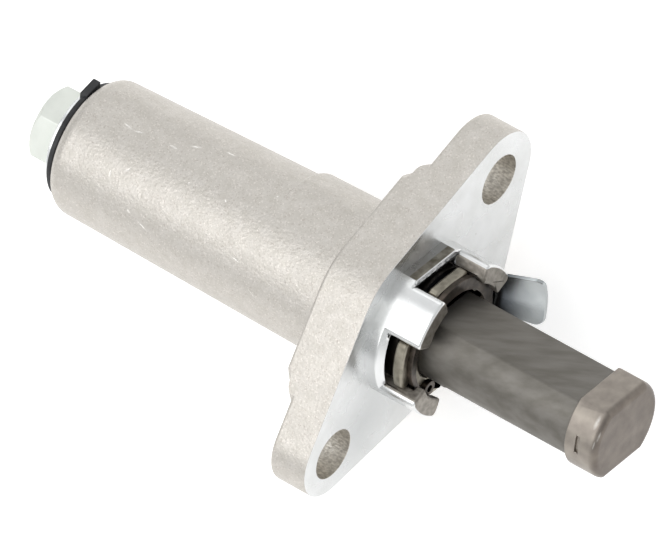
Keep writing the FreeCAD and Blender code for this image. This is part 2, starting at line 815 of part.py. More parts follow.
def make_bolt_washer():
    """The bright plain washer under the bolt's head."""
    hole = size["seal_thread"] / 2.0 + size["washer_play"]
    radius = size["washer_radius"]
    body = make_ring_piece("bolt_washer", washer_back, seal_back, hole, radius, size["washer_edge"])
    lean_with_barrel(body)
    return body


def make_bolt_seal():
    """A moulded rubber washer with the short tab that it is pulled off by."""
    hole = size["seal_thread"] / 2.0 + size["fit_gap"]
    body = make_ring_piece("bolt_seal", seal_back, rear_face, hole, size["seal_radius"], size["seal_edge"])
    tab = new_sketch(body, "pull_tab", "YZ_Plane", seal_back - size["tab_rise"])
    half = size["tab_width"] / 2.0
    shoulder = size["tab_reach"] - size["tab_slant"]
    corners = [
        rotated(size["washer_radius"] + size["fit_gap"], -half, size["tab_angle"]),
        rotated(size["tab_reach"], -half, size["tab_angle"]),
        rotated(shoulder, half, size["tab_angle"]),
        rotated(size["washer_radius"] + size["fit_gap"], half, size["tab_angle"]),
    ]
    closed_profile(tab, corners)
    pad(body, tab, size["seal_thick"] + size["tab_rise"] - size["fit_gap"])
    lean_with_barrel(body)
    return body


# Guide plate, circlip and tongue plate
# They close the front of the housing and steer the plunger.


def double_flat(sketch, radius, flat, direction):
    """Draw a circle with two opposite flats, square to one direction."""
    across = square_root(radius * radius - flat * flat)
    spots = ((-flat, across), (-flat, -across), (flat, -across), (flat, across))
    corners = [rotated(along, side, direction) for along, side in spots]
    closed_profile(sketch, corners, {1: (radius, True), 3: (radius, True)})


def notch_for_lugs(body, name, back, thick, radius):
    """Cut four notches so that a plate can drop between the lugs of the housing."""
    notch = new_sketch(body, name, "YZ_Plane", back - past)
    spread = size["lug_spread"] + size["lug_play"] * 2.0
    sector(notch, radius, size["ring_radius"] + past, lug_angle, spread)
    return repeat_round(body, pocket(body, notch, thick + past * 2.0, backwards=True), LUG_COUNT)


def make_guide_plate():
    """A plated steel plate with two round ears, two flat ears and a double-flat hole."""
    body = new_body("guide_plate")
    ears = new_sketch(body, "guide_outline", "YZ_Plane", guide_back)
    double_flat(ears, size["guide_ear"], size["guide_flat"], size["flat_angle"])
    pad(body, ears, size["guide_thick"])
    plate = notch_for_lugs(body, "guide_notch", guide_back, size["guide_thick"], size["guide_disc"])
    doc.recompute()
    front = guide_front.number - near
    disc = size["guide_disc"].number
    upright = edges_at(plate.Shape, lambda p: math.hypot(p.y, p.z) > disc + near)
    upright = [name for name in upright if abs(plate.Shape.getElement(name).tangentAt(0).x) > 1.0 - near]
    plate = soften(body, plate, upright, size["guide_corner"])
    doc.recompute()
    rim = edges_at(plate.Shape, lambda p: p.x > front and math.hypot(p.y, p.z) > disc - near)
    rim = [name for name in rim if outermost(plate.Shape.getElement(name)) > disc + near]
    soften(body, plate, rim, size["guide_edge"])

    hub = new_sketch(body, "guide_collar", "YZ_Plane", guide_back - size["guide_hub"])
    circle(hub, sleeve_inner - size["fit_gap"] * 2.0)
    pad(body, hub, size["guide_hub"] + size["guide_thick"] / 2.0)

    hole = new_sketch(body, "plunger_hole", "YZ_Plane")
    play = size["plunger_play"]
    double_flat(hole, size["plunger_radius"] + play, size["plunger_flat"] + play, size["flat_angle"])
    pocket(body, hole)
    return body


def make_circlip():
    """A stamped clip that tapers towards its two eyes."""
    body = new_body("circlip")
    outer = new_sketch(body, "circlip_outline", "YZ_Plane", guide_front)
    circle(outer, size["circlip_radius"])
    middle = size["flat_angle"] + size["circlip_turn"]
    shift = polar(size["circlip_shift"], middle)
    circle(outer, size["circlip_bore"], *shift)
    pad(body, outer, size["circlip_thick"])

    slot = new_sketch(body, "circlip_slot", "YZ_Plane", guide_front - past)
    inner = size["circlip_bore"] - size["circlip_shift"] - past
    sector(slot, inner, size["circlip_radius"] + past, middle, size["circlip_gap"])
    pocket(body, slot, size["circlip_thick"] + past * 2.0, backwards=True)

    eyes = new_sketch(body, "circlip_eyes", "YZ_Plane", guide_front)
    ring = size["circlip_radius"] - size["circlip_eye"] - size["fit_gap"]
    holes = new_sketch(body, "eye_holes", "YZ_Plane", guide_front - past)
    for side in (0.5, -0.5):
        centre = polar(ring, middle + size["circlip_gap"] * side)
        circle(eyes, size["circlip_eye"], *centre)
        circle(holes, size["circlip_hole"], *centre)
    pad(body, eyes, size["circlip_thick"])
    pocket(body, holes, size["circlip_thick"] + past * 2.0, backwards=True)
    return body


def make_tongue_plate():
    """A plated sheet washer with one tongue that is bent forward and flared."""
    body = new_body("tongue_plate")
    thick = size["tongue_thick"]
    washer = new_sketch(body, "tongue_washer", "YZ_Plane", sleeve_front)
    circle(washer, size["guide_disc"])
    circle(washer, sleeve_inner)
    pad(body, washer, thick)

    section = new_sketch(body, "tongue_section", "XY_Plane")
    foot = size["tongue_foot"]
    bend = size["tongue_bend"]
    knee = size["tongue_knee"]
    reach = size["tongue_reach"]
    top = size["tongue_tip"]
    inner = size["guide_disc"] - thick
    corners = [
        (sleeve_front, inner),
        (sleeve_front, foot - bend + thick),
        (sleeve_front + bend, foot + thick),
        (knee, foot + thick),
        (reach, top),
        (reach, top - thick),
        (knee, foot),
        (guide_back + bend - thick, foot),
        (guide_back, foot - bend + thick),
        (guide_back, inner),
    ]
    closed_profile(section, corners, {1: (bend, False), 7: (bend - thick, True)})
    tongue = body.newObject("PartDesign::Revolution", "tongue_turned")
    tongue.Profile = section
    tongue.ReferenceAxis = (section, ["H_Axis"])
    tongue.Midplane = True
    bind(tongue, "Angle", size["tongue_spread"])
    doc.recompute()
    tip = reach.number
    names = []
    for number, edge in enumerate(tongue.Shape.Edges, start=1):
        ends = [vertex.Point for vertex in edge.Vertexes]
        if len(ends) == 2 and all(abs(point.x - tip) < near for point in ends):
            if edge.Length < thick.number * 2.0:
                names.append(f"Edge{number}")
    soften(body, tongue, names, size["tongue_corner"])
    body.Placement = FreeCAD.Placement(Vector(0, 0, 0), FreeCAD.Rotation(Vector(1, 0, 0), 0))
    bind(body, "Placement.Rotation.Angle", size["flat_angle"] - QUARTER_TURN + size["tongue_skew"])
    return body


# Lifter mechanism
# A wound spring turns the screw, and the screw drives the plunger out of the housing.


def make_plunger_cap():
    """A pressed steel cup over the plunger's front, staked in one place."""
    body = new_body("plunger_cap")
    wall = size["cap_wall"]
    gap = size["fit_gap"]
    inner = size["plunger_radius"] + gap
    inner_flat = size["plunger_flat"] + gap
    top = size["plunger_front"] + gap
    front = top + wall
    back = front - size["cap_length"]
    outline = new_sketch(body, "cap_outline", "YZ_Plane", back)
    double_flat(outline, inner + wall, inner_flat + wall, size["flat_angle"])
    shell = pad(body, outline, size["cap_length"])
    doc.recompute()
    limit = front.number
    shell = soften(body, shell, edges_at(shell.Shape, lambda p: p.x > limit - 0.001), size["cap_edge"])
    inside = new_sketch(body, "cap_inside", "YZ_Plane", back)
    double_flat(inside, inner, inner_flat, size["flat_angle"])
    pocket(body, inside, size["cap_length"] - wall, backwards=True)

    stake = turned_sketch(body, "stake_mark", size["flat_angle"] + size["stake_turn"])
    middle = front - size["stake_back"]
    half = size["stake_width"] / 2.0
    outer = inner + wall
    corners = [
        (middle - half, outer + past),
        (middle - half / 2.0, outer - size["stake_depth"]),
        (middle + half / 2.0, outer - size["stake_depth"]),
        (middle + half, outer + past),
    ]
    closed_profile(stake, corners)
    mark = body.newObject("PartDesign::Groove", "stake_cut")
    mark.Profile = stake
    mark.ReferenceAxis = (stake, ["H_Axis"])
    mark.Midplane = True
    bind(mark, "Angle", size["stake_length"] / outer * math.degrees(1.0))
    return body


def thread_solid(root, crest, back, front, side_play, outside):
    """A trapezoidal thread of several starts: one section that turns as it moves along."""
    lead = size["thread_lead"].number
    pitch = lead / THREAD_START_COUNT
    low = -side_play / pitch
    high = (size["thread_flat"].number + side_play) / pitch
    chords = CREST_CHORD_COUNT
    crest_shares = [low + (high - low) * part / chords for part in range(chords + 1)]
    root_shares = [0.5 - low, 0.5 + high + low * 2.0]

    # The facets of a hole are drawn outside its round form, so that the screw still passes.
    grow = 1.0
    if outside:
        half_chord = math.pi * (high - low) / (THREAD_START_COUNT * chords)
        grow /= math.cos(math.pi / THREAD_STEP_COUNT) * math.cos(half_chord)

    profile = [(share, crest * grow) for share in crest_shares]
    profile += [(share, root * grow) for share in root_shares]
    steps = math.ceil((front - back) / lead * THREAD_STEP_COUNT)
    sections = []
    for step in range(steps + 1):
        x = back + (front - back) * step / steps
        points = []
        for start in range(THREAD_START_COUNT):
            for share, radius in profile:
                angle = 2.0 * math.pi * (x / lead + (start + share) / THREAD_START_COUNT)
                points.append(Vector(x, radius * math.cos(angle), radius * math.sin(angle)))
        sections.append(Part.makePolygon(points + points[:1]))
    return Part.makeLoft(sections, True, True)


def make_thread(label, root, crest, back, front, side_play=0.0, outside=False):
    """Hold a thread's solid as a piece of the document."""
    feature = doc.addObject("Part::Feature", label)
    feature.Label = label
    numbers = [value.number for value in (root, crest, back, front)]
    feature.Shape = thread_solid(*numbers, side_play, outside)
    return feature


def make_plunger():
    """A double-flat steel rod, bored from behind and threaded at its rear end."""
    body = new_body("plunger_blank")
    outline = new_sketch(body, "plunger_outline", "YZ_Plane", plunger_rear)
    double_flat(outline, size["plunger_radius"], size["plunger_flat"], size["flat_angle"])
    pad(body, outline, size["plunger_length"])
    bore = new_sketch(body, "plunger_bore", "XY_Plane")
    play = size["thread_play"]
    thread_end = plunger_rear + size["plunger_thread_length"]
    root = size["thread_root"] + play
    crest = size["thread_crest"] + play
    corners = [
        (plunger_rear - past, as_size(0.0)),
        (plunger_rear - past, crest + past),
        (plunger_rear + crest - root, root),
        (thread_end, root),
        (thread_end, crest),
        (plunger_floor_back, crest),
        (plunger_floor_back + size["drill_point"], as_size(0.0)),
    ]
    closed_profile(bore, corners)
    turn(body, bore, cutting=True)
    hidden = root - play * 2.0
    ends = (plunger_rear - past, thread_end + past / 2.0)
    side_play = size["thread_side_play"].number
    tool = make_thread("plunger_thread", hidden, crest, *ends, side_play, outside=True)
    return cut("plunger", body, tool)


def make_lifter_screw():
    """Threaded shaft with a thrust collar and a slotted tail."""
    body = new_body("screw_blank")
    section = new_sketch(body, "screw_section", "XY_Plane")
    neck = size["thread_root"] - size["thread_neck"]
    start = collar_front + size["thread_runout"]
    corners = [
        (tail_end, as_size(0.0)),
        (tail_end, size["tail_radius"] - size["tail_edge"]),
        (tail_end + size["tail_edge"], size["tail_radius"]),
        (collar_back, size["tail_radius"]),
        (collar_back, size["collar_radius"]),
        (collar_front, size["collar_radius"]),
        (collar_front, neck),
        (start + past, neck),
        (start + past, as_size(0.0)),
    ]
    closed_profile(section, corners)
    turn(body, section)
    slot = new_sketch(body, "screw_slot", "YZ_Plane", tail_end - past)
    half = size["tail_slot"] / 2.0
    reach = size["tail_radius"] + past
    slab(slot, -reach, reach, half, size["flat_angle"])
    pocket(body, slot, size["tail_slot_depth"] + past, backwards=True)
    thread = make_thread("screw_thread", size["thread_root"], size["thread_crest"], start, thread_front)
    return join("lifter_screw", [body, thread])


def make_thrust_seat():
    """The hardened disc on the bore's floor that the screw's tail turns on."""
    hole = size["seat_hole"] / 2.0
    return make_ring_piece("thrust_seat", bore_floor, seat_front, hole, sleeve_inner, size["seat_edge"])


def make_spring_sleeve():
    """A thin steel tube in the bore; its rim has ears between the lugs, so it can't turn."""
    body = new_body("spring_sleeve")
    rim = new_sketch(body, "rim_outline", "YZ_Plane", pocket_floor)
    circle(rim, size["sleeve_ear"])
    pad(body, rim, size["sleeve_rim_thick"])
    notch_for_lugs(body, "rim_notch", pocket_floor, size["sleeve_rim_thick"], size["guide_disc"])
    tube = new_sketch(body, "tube_outline", "YZ_Plane", seat_front)
    circle(tube, sleeve_inner + size["sleeve_wall"])
    pad(body, tube, sleeve_front - seat_front)
    bore = new_sketch(body, "tube_bore", "YZ_Plane", seat_front - past)
    circle(bore, sleeve_inner)
    pocket(body, bore, sleeve_front - seat_front + past * 2.0, backwards=True)

    slot = new_sketch(body, "wall_slot", "YZ_Plane", coil_front - size["sleeve_slot_length"] / 2.0)
    half = size["sleeve_slot"] / 2.0
    slab(slot, sleeve_inner - past, size["bore_radius"] + past, half, spring_end_angle)
    pocket(body, slot, size["sleeve_slot_length"], backwards=True)
    return body


def wound_wire():
    """The spring's coil: a many-sided wire section, carried round and along the axis."""
    wire = size["wire_radius"].number
    radius = size["coil_radius"].number
    length = (coil_front - coil_back).number
    turns = size["coil_turns"].number
    rise = length / (2.0 * math.pi * turns)
    steps = math.ceil(turns * COIL_STEP_COUNT)
    sections = []
    for step in range(steps + 1):
        share = step / steps
        angle = math.radians(size["flat_angle"].number + 360.0 * turns * share)
        outward = Vector(0, math.cos(angle), math.sin(angle))
        along = Vector(rise, -radius * math.sin(angle), radius * math.cos(angle)).normalize()
        across = along.cross(outward)
        centre = Vector(coil_back.number + length * share, 0, 0) + outward * radius
        points = []
        for side in range(WIRE_SIDE_COUNT):
            turned = 2.0 * math.pi * (side + 0.5) / WIRE_SIDE_COUNT
            points.append(centre + outward * wire * math.cos(turned) + across * wire * math.sin(turned))
        sections.append(Part.makePolygon(points + points[:1]))
    return Part.makeLoft(sections, True, True)


def make_torsion_spring():
    """A wound wire with one end in the tail's slot and the other in the sleeve's slot."""
    legs = []
    for x, angle, inner, outer in (
        (coil_back, size["flat_angle"], -size["tail_radius"], size["coil_radius"]),
        (coil_front, spring_end_angle, size["coil_radius"], sleeve_inner + size["sleeve_wall"]),
    ):
        y, z = polar(as_size(1.0), angle)
        outward = Vector(0, y.number, z.number)
        foot = Vector(x.number, 0, 0) + outward * inner.number
        legs.append(Part.makeCylinder(size["wire_radius"].number, (outer - inner).number, foot, outward))
    feature = doc.addObject("Part::Feature", "torsion_spring")
    feature.Label = "torsion_spring"
    feature.Shape = wound_wire().multiFuse(legs)
    return feature


pieces = [
    make_housing(),
    make_sealing_bolt(),
    make_bolt_washer(),
    make_bolt_seal(),
    make_thrust_seat(),
    make_spring_sleeve(),
    make_torsion_spring(),
    make_lifter_screw(),
    make_plunger(),
    make_plunger_cap(),
    make_tongue_plate(),
    make_guide_plate(),
    make_circlip(),
]
doc.recompute()

# Check every feature, then write one file for each piece

for item in doc.Objects:
    if "Invalid" in item.State or "Error" in item.State:
        raise RuntimeError(f"{item.Label} could not be built")
for piece in pieces:
    if piece.Shape.isNull() or not piece.Shape.isValid() or len(piece.Shape.Solids) != 1:
        raise RuntimeError(f"{piece.Label} is not one sound solid")

os.makedirs("parts", exist_ok=True)
for piece in pieces:
    piece.Shape.exportStep(f"parts/{piece.Label}.step")
    print(f"{piece.Label}: {piece.Shape.Volume:.1f} mm3")
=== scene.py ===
# %% [markdown]
# # A screw-type timing chain tensioner
# This lesson dresses one small engine part: a die-cast aluminium housing with a steel plunger
# that a screw drives out against the timing chain's guide. Its construction comes ready made,
# at its real size in metres, so all that is left to do is what the eye judges: the edges, the
# finishes and the light. X runs along the plunger, Y through the two bolt holes, and Z is up.

# %% Load the construction
import math

import bmesh
import bpy
from mathutils import Matrix, Vector


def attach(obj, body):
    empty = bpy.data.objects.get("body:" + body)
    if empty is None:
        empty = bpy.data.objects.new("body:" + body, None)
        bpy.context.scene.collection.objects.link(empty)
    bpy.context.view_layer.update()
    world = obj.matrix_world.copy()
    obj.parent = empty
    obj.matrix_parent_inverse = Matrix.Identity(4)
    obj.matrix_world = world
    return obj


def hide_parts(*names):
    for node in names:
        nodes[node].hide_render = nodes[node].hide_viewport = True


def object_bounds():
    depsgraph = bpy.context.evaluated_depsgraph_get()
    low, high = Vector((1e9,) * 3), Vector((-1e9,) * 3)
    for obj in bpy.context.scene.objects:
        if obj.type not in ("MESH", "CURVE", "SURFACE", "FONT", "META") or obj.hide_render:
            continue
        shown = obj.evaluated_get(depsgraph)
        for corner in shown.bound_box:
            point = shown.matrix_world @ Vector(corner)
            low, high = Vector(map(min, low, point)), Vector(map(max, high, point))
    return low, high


MM = 0.001
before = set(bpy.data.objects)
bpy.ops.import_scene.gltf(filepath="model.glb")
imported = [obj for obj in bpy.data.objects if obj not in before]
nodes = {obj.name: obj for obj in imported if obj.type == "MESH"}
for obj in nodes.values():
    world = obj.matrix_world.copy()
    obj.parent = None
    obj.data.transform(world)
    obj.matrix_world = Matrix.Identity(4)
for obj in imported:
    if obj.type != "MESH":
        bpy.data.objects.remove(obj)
cad_low, cad_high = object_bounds()
print("CAD box in mm:", [round(c / MM, 2) for c in (*cad_low, *cad_high)])

# %% [markdown]
# ## The camera
# The photograph was taken from far away, so parallel edges stay parallel in it. An orthographic
# camera would draw them so too, but a perspective camera with a very long lens can also be
# walked round the object like a real one. Its place comes from three facts: how the part's own
# axes lie in the picture, how many pixels one millimetre takes, and where the picture shows
# the point at which the plunger's axis meets the machined face of the flange.

# %% Camera at the photograph's angle
PHOTO_WIDTH, PHOTO_HEIGHT = 672, 555
PIXELS_PER_MM = 7.95
ORIGIN_PIXEL = Vector((416.3, 316.8))
CAMERA_DISTANCE = 2.0
SENSOR_WIDTH = 36.0
NEAREST_SEEN, FARTHEST_SEEN = 0.1, 20.0

picture_right = Vector((0.791, 0.515, -0.330)).normalized()
towards_camera = Vector((0.430, -0.085, 0.899)).normalized()
picture_up = towards_camera.cross(picture_right).normalized()
picture_right = picture_up.cross(towards_camera)

offset = (ORIGIN_PIXEL - Vector((PHOTO_WIDTH, PHOTO_HEIGHT)) / 2) / PIXELS_PER_MM * MM
aim = picture_up * offset.y - picture_right * offset.x

camera_data = bpy.data.cameras.new("photo_camera")
camera_data.sensor_width = SENSOR_WIDTH
camera_data.lens = PIXELS_PER_MM / MM * CAMERA_DISTANCE * SENSOR_WIDTH / PHOTO_WIDTH
camera_data.clip_start = NEAREST_SEEN
camera_data.clip_end = FARTHEST_SEEN
camera = bpy.data.objects.new("photo_camera", camera_data)
bpy.context.scene.collection.objects.link(camera)
camera.matrix_world = Matrix.LocRotScale(
    aim + towards_camera * CAMERA_DISTANCE,
    Matrix((picture_right, picture_up, towards_camera)).transposed().to_quaternion(),
    None,
)
bpy.context.scene.camera = camera
print("lens in mm:", round(camera_data.lens, 1))

# %% [markdown]
# ## Colours and nodes
# A colour picker shows sRGB values, but the renderer adds light up in linear ones. One function
# turns a hex value into what a socket needs, so each finish below can be named by the colour
# that the eye sees. Materials could be laid out by hand in the node editor. In a script, one
# small function that adds a node with its settings and links keeps them short enough to read.


# %% Two helpers for materials
def linear(hex_colour):
    """Turn an sRGB hex value into the linear colour a socket takes."""
    channels = [int(hex_colour[i : i + 2], 16) / 255 for i in (1, 3, 5)]
    curve = [c / 12.92 if c <= 0.04045 else ((c + 0.055) / 1.055) ** 2.4 for c in channels]
    return (*curve, 1.0)


def add_node(tree, kind, settings=None, values=None, links=None):
    """Add a node: settings are its properties, values its sockets, links what feeds them."""
    node = tree.nodes.new(kind)
    for name, value in (settings or {}).items():
        setattr(node, name, value)
    for name, value in (values or {}).items():
        node.inputs[name].default_value = value
    for name, source in (links or {}).items():
        tree.links.new(source, node.inputs[name])
    return node


print("sRGB middle grey in linear light:", round(linear("#808080")[0], 3))

# %% [markdown]
# ## The tent
# Product photographs of metal are made in a white tent. Everything the metal mirrors is pale,
# and a few darker cards are what draw its edges. The tent could be a mesh round the part, but
# a world does the same from every side and never stands in the camera's way. The camera sees
# this one white, matt surfaces get a plain soft level of light from it, and mirrors see it a
# little below white, with one soft card that darkens the upper edge of the barrel.

# %% A world that is bright all round
PLAIN_LEVEL = 0.65
TENT_LEVEL = 0.86
CARD_LEVEL = 0.54
CARD_TOWARDS = Vector((-0.35, 0.9, 0.1)).normalized()
CARD_REACH = math.radians(62)


def studio_tent():
    """Three backgrounds, chosen by what kind of ray meets the world."""
    world = bpy.data.worlds.new("studio_tent")
    world.use_nodes = True
    tree = world.node_tree
    tree.nodes.clear()
    rays = add_node(tree, "ShaderNodeLightPath")
    seen = add_node(
        tree,
        "ShaderNodeMath",
        {"operation": "MAXIMUM"},
        links={0: rays.outputs["Is Camera Ray"], 1: rays.outputs["Is Transmission Ray"]},
    )
    looking = add_node(tree, "ShaderNodeTexCoord").outputs["Generated"]
    towards_card = add_node(
        tree,
        "ShaderNodeVectorMath",
        {"operation": "DOT_PRODUCT"},
        {1: CARD_TOWARDS},
        {0: looking},
    )
    card = add_node(
        tree,
        "ShaderNodeMapRange",
        {"interpolation_type": "SMOOTHSTEP"},
        {
            "From Min": math.cos(CARD_REACH),
            "From Max": 1.0,
            "To Min": TENT_LEVEL,
            "To Max": CARD_LEVEL,
        },
        {"Value": towards_card.outputs["Value"]},
    )
    plain = add_node(
        tree,
        "ShaderNodeBackground",
        values={"Color": linear("#ffffff"), "Strength": PLAIN_LEVEL},
    )
    mirrored = add_node(
        tree,
        "ShaderNodeBackground",
        values={"Color": linear("#fbfcfd")},
        links={"Strength": card.outputs[0]},
    )
    white = add_node(
        tree, "ShaderNodeBackground", values={"Color": linear("#ffffff"), "Strength": 1.0}
    )
    glossy = add_node(
        tree,
        "ShaderNodeMixShader",
        links={0: rays.outputs["Is Glossy Ray"], 1: plain.outputs[0], 2: mirrored.outputs[0]},
    )
    both = add_node(
        tree,
        "ShaderNodeMixShader",
        links={0: seen.outputs[0], 1: glossy.outputs[0], 2: white.outputs[0]},
    )
    add_node(tree, "ShaderNodeOutputWorld", links={"Surface": both.outputs[0]})
    return world


bpy.context.scene.world = studio_tent()
print("a mirror sees the tent at", TENT_LEVEL, "and the card at", CARD_LEVEL)

# %% [markdown]
# ## The ground
# The part lies on white paper. Lit paper comes out pale grey, and enough light to turn it white
# would burn out the metal. So what the camera, a mirror or glass sees of the paper is lifted to
# white by a little glow of its own. That glow lights no matt surface, and the object's shadow
# stays on the paper.

# %% White paper under the flange
PAPER_GLOW = 0.38
PAPER_SIZE = 3.0
PAPER_BELOW_PART = 0.2 * MM


def white_paper():
    """Plain background paper: matt to the eye, with hardly any sheen."""
    material = bpy.data.materials.new("white_background_paper")
    material.use_nodes = True
    tree = material.node_tree
    shader = tree.nodes["Principled BSDF"]
    shader.inputs["Base Color"].default_value = linear("#fbfbfb")
    shader.inputs["Roughness"].default_value = 0.9
    shader.inputs["Specular IOR Level"].default_value = 0.1
    rays = add_node(tree, "ShaderNodeLightPath")
    seen = rays.outputs["Is Camera Ray"]
    for ray in ("Is Glossy Ray", "Is Transmission Ray"):
        seen = add_node(
            tree,
            "ShaderNodeMath",
            {"operation": "MAXIMUM"},
            links={0: seen, 1: rays.outputs[ray]},
        ).outputs[0]
    lift = add_node(
        tree, "ShaderNodeMath", {"operation": "MULTIPLY"}, {1: PAPER_GLOW}, {0: seen}
    )
    shader.inputs["Emission Color"].default_value = linear("#ffffff")
    tree.links.new(lift.outputs[0], shader.inputs["Emission Strength"])
    return material


def lay_paper(material):
    """A large sheet just under the lowest point of the flange."""
    mesh = bpy.data.meshes.new("floor")
    bm = bmesh.new()
    bmesh.ops.create_grid(bm, x_segments=1, y_segments=1, size=PAPER_SIZE)
    bmesh.ops.translate(bm, vec=(0, 0, cad_low.z - PAPER_BELOW_PART), verts=bm.verts)
    bm.to_mesh(mesh)
    bm.free()
    floor = bpy.data.objects.new("floor", mesh)
    floor.data.materials.append(material)
    bpy.context.scene.collection.objects.link(floor)


lay_paper(white_paper())
print("paper lies at z =", round((cad_low.z - PAPER_BELOW_PART) / MM, 2), "mm")

# %% [markdown]
# ## The lamps
# Two soft boxes, each about a metre wide and a metre away, stand over the part. The key gives
# the barrel its long gentle highlight, and the fill, from the side of the larger ear, opens the
# shadows. Small lamps would light it as well, but a bare metal mirrors them as hard bright
# dots, and every shadow would get a sharp edge.

# %% Two soft boxes
SOFT_BOXES = [
    # name, direction from the part, distance and side in metres, and power in watts
    ("key_soft_box", (-0.15, -0.46, 0.87), 1.0, 1.1, 5.7),
    ("fill_soft_box", (-0.35, 0.75, 0.55), 1.1, 1.0, 2.4),
]


def soft_box(name, direction, distance, side, watts):
    """A square lamp that looks at the part from one direction."""
    data = bpy.data.lights.new(name, "AREA")
    data.shape = "SQUARE"
    data.size = side
    data.energy = watts
    lamp = bpy.data.objects.new(name, data)
    bpy.context.scene.collection.objects.link(lamp)
    direction = Vector(direction).normalized()
    lamp.location = direction * distance
    lamp.rotation_mode = "QUATERNION"
    lamp.rotation_quaternion = direction.to_track_quat("Z", "Y")


for box in SOFT_BOXES:
    soft_box(*box)
bpy.context.scene.view_settings.view_transform = "Standard"
print("lamps:", ", ".join(box[0] for box in SOFT_BOXES))

# %% [markdown]
# ## Real edges
# The construction gives exact faces that meet in perfectly sharp edges. No real casting or
# pressing has those: each edge is broken by a tenth of a millimetre or so, and that narrow
# strip catches a line of light. Such strips could be part of the construction, at the cost of
# thousands of small faces in it. A Bevel modifier makes them afterwards, from a weight on each
# edge. A bevel wider than its neighbours folds over, so a test first asks whether an edge is
# sharp, looks outwards, and has room beside it.

# %% Which edges can be broken
SHARP_ANGLE = math.radians(32)
ROOM_PER_WIDTH = 2.5


def breakable(edge, width, sharp):
    """True for an outer edge that is sharp and has room on both sides for the bevel."""
    if not edge.is_manifold or edge.calc_face_angle_signed(0.0) < sharp:
        return False
    for vertex in edge.verts:
        for other in vertex.link_edges:
            smooth = other.is_manifold and other.calc_face_angle(0.0) < SHARP_ANGLE
            narrow = other.calc_length() < ROOM_PER_WIDTH * width
            if other is not edge and smooth and narrow:
                return False
    return True


print("sharp from", round(math.degrees(SHARP_ANGLE)), "degrees, room:", ROOM_PER_WIDTH, "widths")

# %% [markdown]
# ## Dressing a construction node
# A construction mesh is loose triangles, which neither shade smoothly nor bevel, and it has to
# stay as it is. So every visible piece is dressed as a copy: its triangles are merged, flat
# areas are joined into single faces, each face gets its material and each edge its weight.
# The Bevel modifier breaks the weighted edges, and Weighted Normals keep the large faces flat
# in the light. The copy rides on the same body and stands for the construction node.

# %% Dress a construction node
FLAT_ANGLE = math.radians(0.05)
SAME_POINT = 0.001 * MM
BEVEL_SEGMENTS = 3
NORMAL_WEIGHT = 80


def dressed(
    name,
    body,
    materials,
    widths_mm=(0.1,),
    zone=None,
    widths_at=None,
    merged=None,
    sharp=SHARP_ANGLE,
):
    """Copy a node's mesh, merge it, pick a material for each face and break its edges.

    Each edge gets the first of the widths that it has room for. zone picks a face's material
    by number, widths_at chooses other widths for an edge, and merged tells the edges that
    only divide a round side.
    """
    mesh = bpy.data.meshes.new(f"{name}_dressed")
    bm = bmesh.new()
    bm.from_mesh(nodes[name].data)
    bmesh.ops.remove_doubles(bm, verts=bm.verts, dist=SAME_POINT)
    for face in bm.faces:
        face.material_index = zone(face) if zone else 0
        face.smooth = True
    bmesh.ops.dissolve_limit(
        bm, angle_limit=FLAT_ANGLE, verts=bm.verts, edges=bm.edges, delimit={"MATERIAL"}
    )
    if merged:
        dividing = [edge for edge in bm.edges if merged(edge)]
        bmesh.ops.dissolve_edges(bm, edges=dividing, use_verts=False)
    weight = bm.edges.layers.float.new("bevel_weight_edge")
    widest = max(widths_mm)
    broken = 0
    for edge in bm.edges:
        edge.smooth = edge.is_manifold and edge.calc_face_angle(0.0) < sharp
        for width in widths_at(edge) if widths_at else widths_mm:
            if breakable(edge, width * MM, sharp):
                edge[weight] = width / widest
                broken += 1
                break
    bm.to_mesh(mesh)
    bm.free()
    for material in materials:
        mesh.materials.append(material)
    piece = bpy.data.objects.new(f"{name}_dressed", mesh)
    bpy.context.scene.collection.objects.link(piece)
    bevel = piece.modifiers.new("broken_edges", "BEVEL")
    bevel.width = widest * MM
    bevel.segments = BEVEL_SEGMENTS
    bevel.limit_method = "WEIGHT"
    bevel.use_clamp_overlap = False
    normals = piece.modifiers.new("flat_faces", "WEIGHTED_NORMAL")
    normals.keep_sharp = True
    normals.weight = NORMAL_WEIGHT
    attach(piece, body)
    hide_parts(name)
    print(f"{name}: {len(mesh.polygons)} faces, {broken} edges broken")
    return piece


# %% [markdown]
# ## Tones and gloss
# No metal here has one even colour. Handling, heat and oil leave patches that differ by a
# shade, and some places are duller than others. Pictures of metal wrapped round the pieces
# would show that too, but they bring seams and suit one size only. A noise texture has neither
# fault. One slow noise shifts the colour between two close tones, and a second one, a little
# slower, moves the roughness between two values.

# %% Slow patches of tone and gloss
TONE_FADE = (0.35, 0.65)
GLOSS_FADE = (0.3, 0.7)
CLOUDS_PER_PATCH = 0.6


def two_tones(tree, laid, light, dark, patch_mm):
    """Shift the colour between two close tones."""
    patches = add_node(
        tree,
        "ShaderNodeTexNoise",
        values={"Scale": 1 / (patch_mm * MM), "Detail": 3.0},
        links={"Vector": laid},
    )
    tone = add_node(
        tree,
        "ShaderNodeMapRange",
        values={"From Min": TONE_FADE[0], "From Max": TONE_FADE[1]},
        links={"Value": patches.outputs["Fac"]},
    )
    return add_node(
        tree,
        "ShaderNodeMix",
        {"data_type": "RGBA"},
        {"A": linear(dark), "B": linear(light)},
        {"Factor": tone.outputs[0]},
    ).outputs["Result"]


